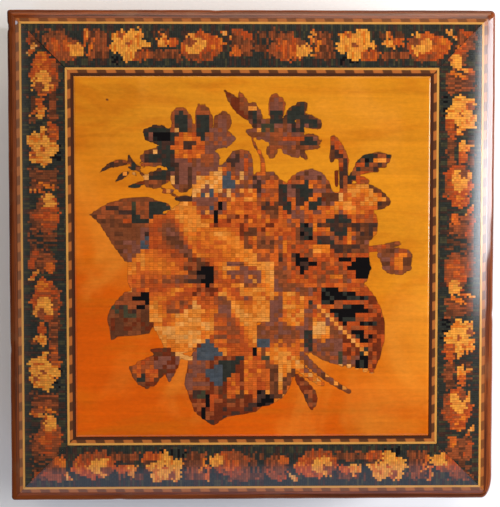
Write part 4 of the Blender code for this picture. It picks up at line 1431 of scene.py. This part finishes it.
def plain_wood(name, light, dark, scale, seed):
    """Plain softwood or lining wood. Its grain runs along the axis with the smallest scale."""
    recipe = Recipe(name)
    place = recipe.place()
    grain = recipe.noise(place, scale, 4.0, 0.6, 0.8, shift=(seed, seed, seed))
    fine = recipe.noise(place, tuple(6 * s for s in scale), 2.0, 0.6)
    colour = recipe.ramp(0.7 * grain + 0.3 * fine, (0.36, dark), (0.5, light), (0.62, dark), (0.72, light))
    return recipe.finish(colour, 0.55 + 0.2 * fine, fine + grain, PLAIN_RELIEF)


# Settings
def length(name, description, default):
    """A length in metres."""
    return FloatProperty(name=name, description=description, default=default, min=0.0, unit="LENGTH",
                         subtype="DISTANCE", precision=5)


def tint(name, description, *shade):
    """A colour, given as a screen colour."""
    return FloatVectorProperty(name=name, description=description, default=screen(*shade), size=3, min=0.0,
                               max=1.0, subtype="COLOR")


def amount(name, description, default):
    """A strength without a unit, or in watts."""
    return FloatProperty(name=name, description=description, default=default, min=0.0)


def point(name, description, default):
    """A place in the frame."""
    return FloatVectorProperty(name=name, description=description, default=default, subtype="XYZ_LENGTH",
                               unit="LENGTH", precision=4)


def pair(name, description, default):
    """A width and a depth."""
    return FloatVectorProperty(name=name, description=description, default=default, size=2, unit="LENGTH",
                               precision=4)


class TUNBRIDGE_PG_sizes(PropertyGroup):
    """Sizes of the box's woodwork that show on its surface."""

    stick: length("Stick", "Width of one stick of the bouquet's mosaic", 0.0015)
    border_stick: length("Border stick", "Width of one stick of the border's mosaic", 0.0008)
    band_stick: length("Side band stick", "Width of one stick of the side bands", 0.0008)
    dash: length("Dash", "Length of one piece in the dashed rows", 0.0033)
    outer_row: length("Outer dashed row", "Width of the dashed row beside the edge moulding", 0.00122)
    inner_line: length("Inner boxwood line", "Width of the boxwood line inside the border", 0.00078)
    inner_row: length("Inner dashed row", "Width of the dashed row inside the border", 0.0011)
    rub: length("Rubbing", "How far handling has rounded the lid's edge", 0.00012)


class TUNBRIDGE_PG_colours(PropertyGroup):
    """Colours of the plain woods."""

    satinwood_back: tint("Satinwood, back", "The panel's ground towards the back", 208, 130, 22)
    satinwood_front: tint("Satinwood, front", "The panel's ground towards the front", 204, 83, 0)
    satinwood_deep: tint("Satinwood, deep", "Darker bands in the panel's ground", 188, 96, 6)
    satinwood_pale: tint("Satinwood, pale", "Paler clouds in the panel's ground", 226, 146, 48)
    rosewood_dark: tint("Rosewood, dark", "Streaks in the rosewood", 30, 12, 8)
    rosewood_middle: tint("Rosewood, middle", "The rosewood's main colour", 96, 42, 15)
    rosewood_light: tint("Rosewood, light", "Lighter figure in the rosewood", 134, 64, 24)
    rosewood_worn: tint("Rosewood, worn", "Rosewood where its finish is rubbed", 122, 74, 44)
    boxwood_line: tint("Boxwood line", "The pale lines", 196, 138, 64)
    dark_line: tint("Dark line", "The line beside the panel", 66, 33, 18)
    dash_light: tint("Dash, light", "The light pieces of the dashed rows", 172, 96, 40)
    dash_dark: tint("Dash, dark", "The dark pieces of the dashed rows", 74, 42, 22)
    # The chip's colour is a painted highlight: bare wood shown lit bluish white
    chip_highlight: tint("Chip", "The bare wood in the banding's chipped corner", 190, 192, 204)
    lining_light: tint("Lining, light", "The lining strips' wood", 196, 140, 88)
    lining_dark: tint("Lining, dark", "The lining strips' grain", 160, 104, 60)
    deal_light: tint("Deal, light", "The boards' wood", 206, 164, 110)
    deal_dark: tint("Deal, dark", "The boards' grain", 168, 116, 68)


class TUNBRIDGE_PG_woods(PropertyGroup):
    """Colours of the mosaic's woods."""

    __annotations__ = {
        name: tint(name.capitalize(), f"Sticks of {name}", *shade) for name, shade in WOODS.items()
    }


# Lamps, all turned to the frame's origin: place, width and depth, power in watts, and screen colour
LAMPS = {
    "window": ((0.44, -0.01, 0.60), (0.13, 0.13), 0.6, (236, 246, 255)),
    "low_window": ((0.60, 0.06, 0.43), (0.18, 0.56), 6.0, (250, 250, 255)),
    "edge_window": ((0.04, 0.60, 0.60), (0.40, 0.36), 1.3, (255, 252, 240)),
    "left_fill": ((-0.80, 0.05, 0.90), (0.9, 0.5), 1.35, (255, 246, 232)),
    "front_fill": ((0.05, -0.62, 0.72), (0.9, 0.45), 1.6, (200, 214, 255)),
    "back_fill": ((0.00, 1.10, 0.55), (1.2, 0.5), 6.0, (255, 232, 204)),
}


# The camera's turn, nearly straight down
CAMERA_TURN = (radians(-3.43), radians(-1.28), radians(-0.02))


class TUNBRIDGE_PG_stage(PropertyGroup):
    """Floor, light and camera."""

    __annotations__ = {
        "floor_reach": length("Floor reach", "How far the floor runs each way", 2.0),
        "floor_colour": tint("Floor", "The floor's colour", 244, 243, 241),
        "sky_colour": tint("Sky", "The even light's colour", 240, 244, 250),
        "sky_strength": amount("Sky strength", "How strong the even light is", 0.18),
        "camera_place": point("Camera", "The camera's place", (-0.0127, 0.0331, 0.6)),
        "camera_turn": FloatVectorProperty(
            name="Camera turn", description="The camera's turn about X, Y and Z", default=CAMERA_TURN,
            subtype="EULER", unit="ROTATION", precision=4),
        "film": length("Film", "Width of the camera's film", 0.036),
        "lens": length("Lens", "Length of the camera's lens", 0.10800),
    }
    for lamp, (place, span, power, shade) in LAMPS.items():
        word = lamp.replace("_", " ")
        title = word.capitalize()
        __annotations__[f"{lamp}_place"] = point(f"{title} place", f"Where the {word} hangs", place)
        __annotations__[f"{lamp}_span"] = pair(f"{title} span", f"Width and depth of the {word}", span)
        __annotations__[f"{lamp}_power"] = amount(f"{title} power", f"Watts of the {word}", power)
        __annotations__[f"{lamp}_colour"] = tint(f"{title} colour", f"Colour of the {word}", *shade)
    del lamp, place, span, power, shade, word, title


# Pieces of the box
def add_rosewood(kind, side, mesh, colours):
    """One side's wall, lid side or moulding, each cut from another place of the rosewood's figure."""
    start, step = ROSEWOOD_CUTS[kind]
    finish = rosewood(f"{kind}_{side}_finish", colours, start + step * list(SIDES).index(side))
    add_piece(f"{kind}_{side}", mesh, finish)


class TUNBRIDGE_OT_body(Operator):
    """Four rosewood walls with a shallow groove, and the mosaic bands let into them"""

    bl_idname = "tunbridge.body"
    bl_label = "Body walls and bands"

    def execute(self, context):
        sizes, colours = context.scene.tunbridge_sizes, context.scene.tunbridge_colours
        band = stick_mosaic("side_band_finish", SIDE_BAND_JOINTS)
        groove = (GROOVE_LOW, GROOVE_HIGH, VENEER + PACKED_GAP)
        shares, heights = box_outline(WALL_LINE, WALL[2], WALL[3], groove)
        for side in SIDES:
            wall = carry_worn(f"body_wall_{side}", side, WALL_LINE, shares, heights)
            add_rosewood("body_wall", side, wall, colours)
            strip = side_band_strip(side, sizes.band_stick)
            add_piece(f"side_band_{side}", strip, band)
        return {"FINISHED"}


class TUNBRIDGE_OT_lid_edge(Operator):
    """The lid's four rosewood sides and the rounded mouldings above them"""

    bl_idname = "tunbridge.lid_edge"
    bl_label = "Lid sides and edge mouldings"

    def execute(self, context):
        sizes, colours = context.scene.tunbridge_sizes, context.scene.tunbridge_colours
        flat = box_outline(LID_SIDE_LINE, LID_SIDE[2], LID_SEAM - JOINT)
        width = EDGE_LINE - JOINT
        edge = moulding_outline(width, LID_SEAM + JOINT, lid_height(EDGE_LINE))
        for side in SIDES:
            mesh = carry_worn(f"lid_side_{side}", side, LID_SIDE_LINE, *flat)
            add_rosewood("lid_side", side, mesh, colours)
            name = f"edge_moulding_{side}"
            mesh = carry_worn(name, side, width, *edge, middle_steps=EDGE_STATIONS, fret=sizes.rub)
            add_rosewood("edge_moulding", side, mesh, colours)
        return {"FINISHED"}


class TUNBRIDGE_OT_bandings(Operator):
    """Made-up bandings on both sides of the mosaic border"""

    bl_idname = "tunbridge.bandings"
    bl_label = "Bandings"

    def execute(self, context):
        sizes, colours = context.scene.tunbridge_sizes, context.scene.tunbridge_colours
        outer_rows = (("dashes", 0.0), ("line", sizes.outer_row / MM))
        line = sizes.inner_line / MM
        inner_rows = (("line", 0.0), ("dashes", line), ("dark", line + sizes.inner_row / MM))
        outer = banding("outer_banding_finish", sizes, colours, outer_rows, OUTER_CONTRAST)
        inner = banding("inner_banding_finish", sizes, colours, inner_rows, INNER_CONTRAST)
        for side in SIDES:
            strip = banding_strip("outer_banding", side, EDGE_LINE, BANDING_LINE)
            add_piece(f"outer_banding_{side}", strip, outer)
            strip = banding_strip("inner_banding", side, BORDER_LINE, PANEL_LINE)
            add_piece(f"inner_banding_{side}", strip, inner)
        return {"FINISHED"}


class TUNBRIDGE_OT_border(Operator):
    """The mitred border of floral mosaic"""

    bl_idname = "tunbridge.border"
    bl_label = "Mosaic border"

    def execute(self, context):
        material = stick_mosaic("mosaic_border_finish", BORDER_JOINTS, open_mitre_shade=True)
        for side in SIDES:
            strip = border_strip(side, context.scene.tunbridge_sizes.border_stick)
            add_piece(f"mosaic_border_{side}", strip, material)
        return {"FINISHED"}


class TUNBRIDGE_OT_panel(Operator):
    """The satinwood panel with its mosaic bouquet"""

    bl_idname = "tunbridge.panel"
    bl_label = "Bouquet panel"

    def execute(self, context):
        sizes, colours = context.scene.tunbridge_sizes, context.scene.tunbridge_colours
        mesh = bouquet_panel(sizes.stick)
        add_piece("bouquet_panel", mesh, bouquet_finish(colours))
        return {"FINISHED"}


class TUNBRIDGE_OT_boards(Operator):
    """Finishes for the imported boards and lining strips, which keep their packed form"""

    bl_idname = "tunbridge.boards"
    bl_label = "Boards and lining strips"

    def execute(self, context):
        colours = context.scene.tunbridge_colours
        lining = (colours.lining_light, colours.lining_dark)
        lining_x = plain_wood("lining_finish_x", *lining, (25, 420, 420), 2.0)
        lining_y = plain_wood("lining_finish_y", *lining, (420, 25, 420), 5.0)
        deal = plain_wood("deal_finish", colours.deal_light, colours.deal_dark, (9, 150, 150), 8.0)
        finishes = {"base_board": deal, "lid_board": deal}
        for side in SIDES:
            finishes[f"lining_{side}"] = lining_x if side in ("front", "back") else lining_y
        for node, material in finishes.items():
            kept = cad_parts[node]
            kept.data.materials.clear()
            kept.data.materials.append(material)
            "deal" if material == deal else "lining_wood"
        return {"FINISHED"}


class TUNBRIDGE_OT_stage(Operator):
    """Plain pale floor, soft light and a camera at the photograph's angle"""

    bl_idname = "tunbridge.stage"
    bl_label = "Floor, light and camera"

    def execute(self, context):
        scene, stage = context.scene, context.scene.tunbridge_stage
        reach = stage.floor_reach
        mesh = bpy.data.meshes.new("floor")
        corners = [(-reach, -reach, 0), (reach, -reach, 0), (reach, reach, 0), (-reach, reach, 0)]
        mesh.from_pydata(corners, [], [(0, 1, 2, 3)])
        mesh.materials.append(Recipe("floor_finish").finish(stage.floor_colour, 0.85))
        floor = bpy.data.objects.new("floor", mesh)
        scene.collection.objects.link(floor)

        world = bpy.data.worlds.new("studio")
        world.use_nodes = True
        sky = world.node_tree.nodes["Background"]
        sky.inputs["Color"].default_value = (*stage.sky_colour, 1.0)
        sky.inputs["Strength"].default_value = stage.sky_strength
        scene.world = world

        for name in LAMPS:
            keys = ("place", "span", "power", "colour")
            place, span, power, colour = (getattr(stage, f"{name}_{key}") for key in keys)
            lamp = bpy.data.lights.new(name, "AREA")
            lamp.shape = "RECTANGLE"
            lamp.size, lamp.size_y, lamp.energy, lamp.color = *span, power, colour
            light = bpy.data.objects.new(name, lamp)
            light.location = place
            light.rotation_euler = (-Vector(place)).to_track_quat("-Z", "Y").to_euler()
            scene.collection.objects.link(light)

        lens = bpy.data.cameras.new("camera")
        lens.sensor_width, lens.lens = stage.film / MM, stage.lens / MM
        camera = bpy.data.objects.new("camera", lens)
        camera.location, camera.rotation_euler = stage.camera_place, stage.camera_turn
        scene.collection.objects.link(camera)
        scene.camera = camera
        scene.view_settings.view_transform = "Standard"
        return {"FINISHED"}


OPERATORS = (
    TUNBRIDGE_OT_body,
    TUNBRIDGE_OT_lid_edge,
    TUNBRIDGE_OT_bandings,
    TUNBRIDGE_OT_border,
    TUNBRIDGE_OT_panel,
    TUNBRIDGE_OT_boards,
    TUNBRIDGE_OT_stage,
)
SETTINGS = {
    "tunbridge_sizes": TUNBRIDGE_PG_sizes,
    "tunbridge_colours": TUNBRIDGE_PG_colours,
    "tunbridge_woods": TUNBRIDGE_PG_woods,
    "tunbridge_stage": TUNBRIDGE_PG_stage,
}


class TUNBRIDGE_PT_box(Panel):
    """Buttons for the box's pieces, in the order they are built"""

    bl_label = "Tunbridge ware box"
    bl_idname = "TUNBRIDGE_PT_box"
    bl_space_type = "VIEW_3D"
    bl_region_type = "UI"
    bl_category = "Box"

    def draw(self, context):
        for operator in OPERATORS:
            self.layout.operator(operator.bl_idname)
        for name, group in SETTINGS.items():
            box = self.layout.box()
            for key in group.__annotations__:
                box.prop(getattr(context.scene, name), key)


def register():
    for made in (*SETTINGS.values(), *OPERATORS, TUNBRIDGE_PT_box):
        bpy.utils.register_class(made)
    for name, group in SETTINGS.items():
        setattr(bpy.types.Scene, name, PointerProperty(type=group))


def unregister():
    for name in SETTINGS:
        delattr(bpy.types.Scene, name)
    for made in reversed((*SETTINGS.values(), *OPERATORS, TUNBRIDGE_PT_box)):
        bpy.utils.unregister_class(made)


def main():
    register()
    bpy.ops.tunbridge.body()
    bpy.ops.tunbridge.lid_edge()
    bpy.ops.tunbridge.bandings()
    bpy.ops.tunbridge.border()
    bpy.ops.tunbridge.panel()
    bpy.ops.tunbridge.boards()
    bpy.ops.tunbridge.stage()


if __name__ == "__main__":
    main()
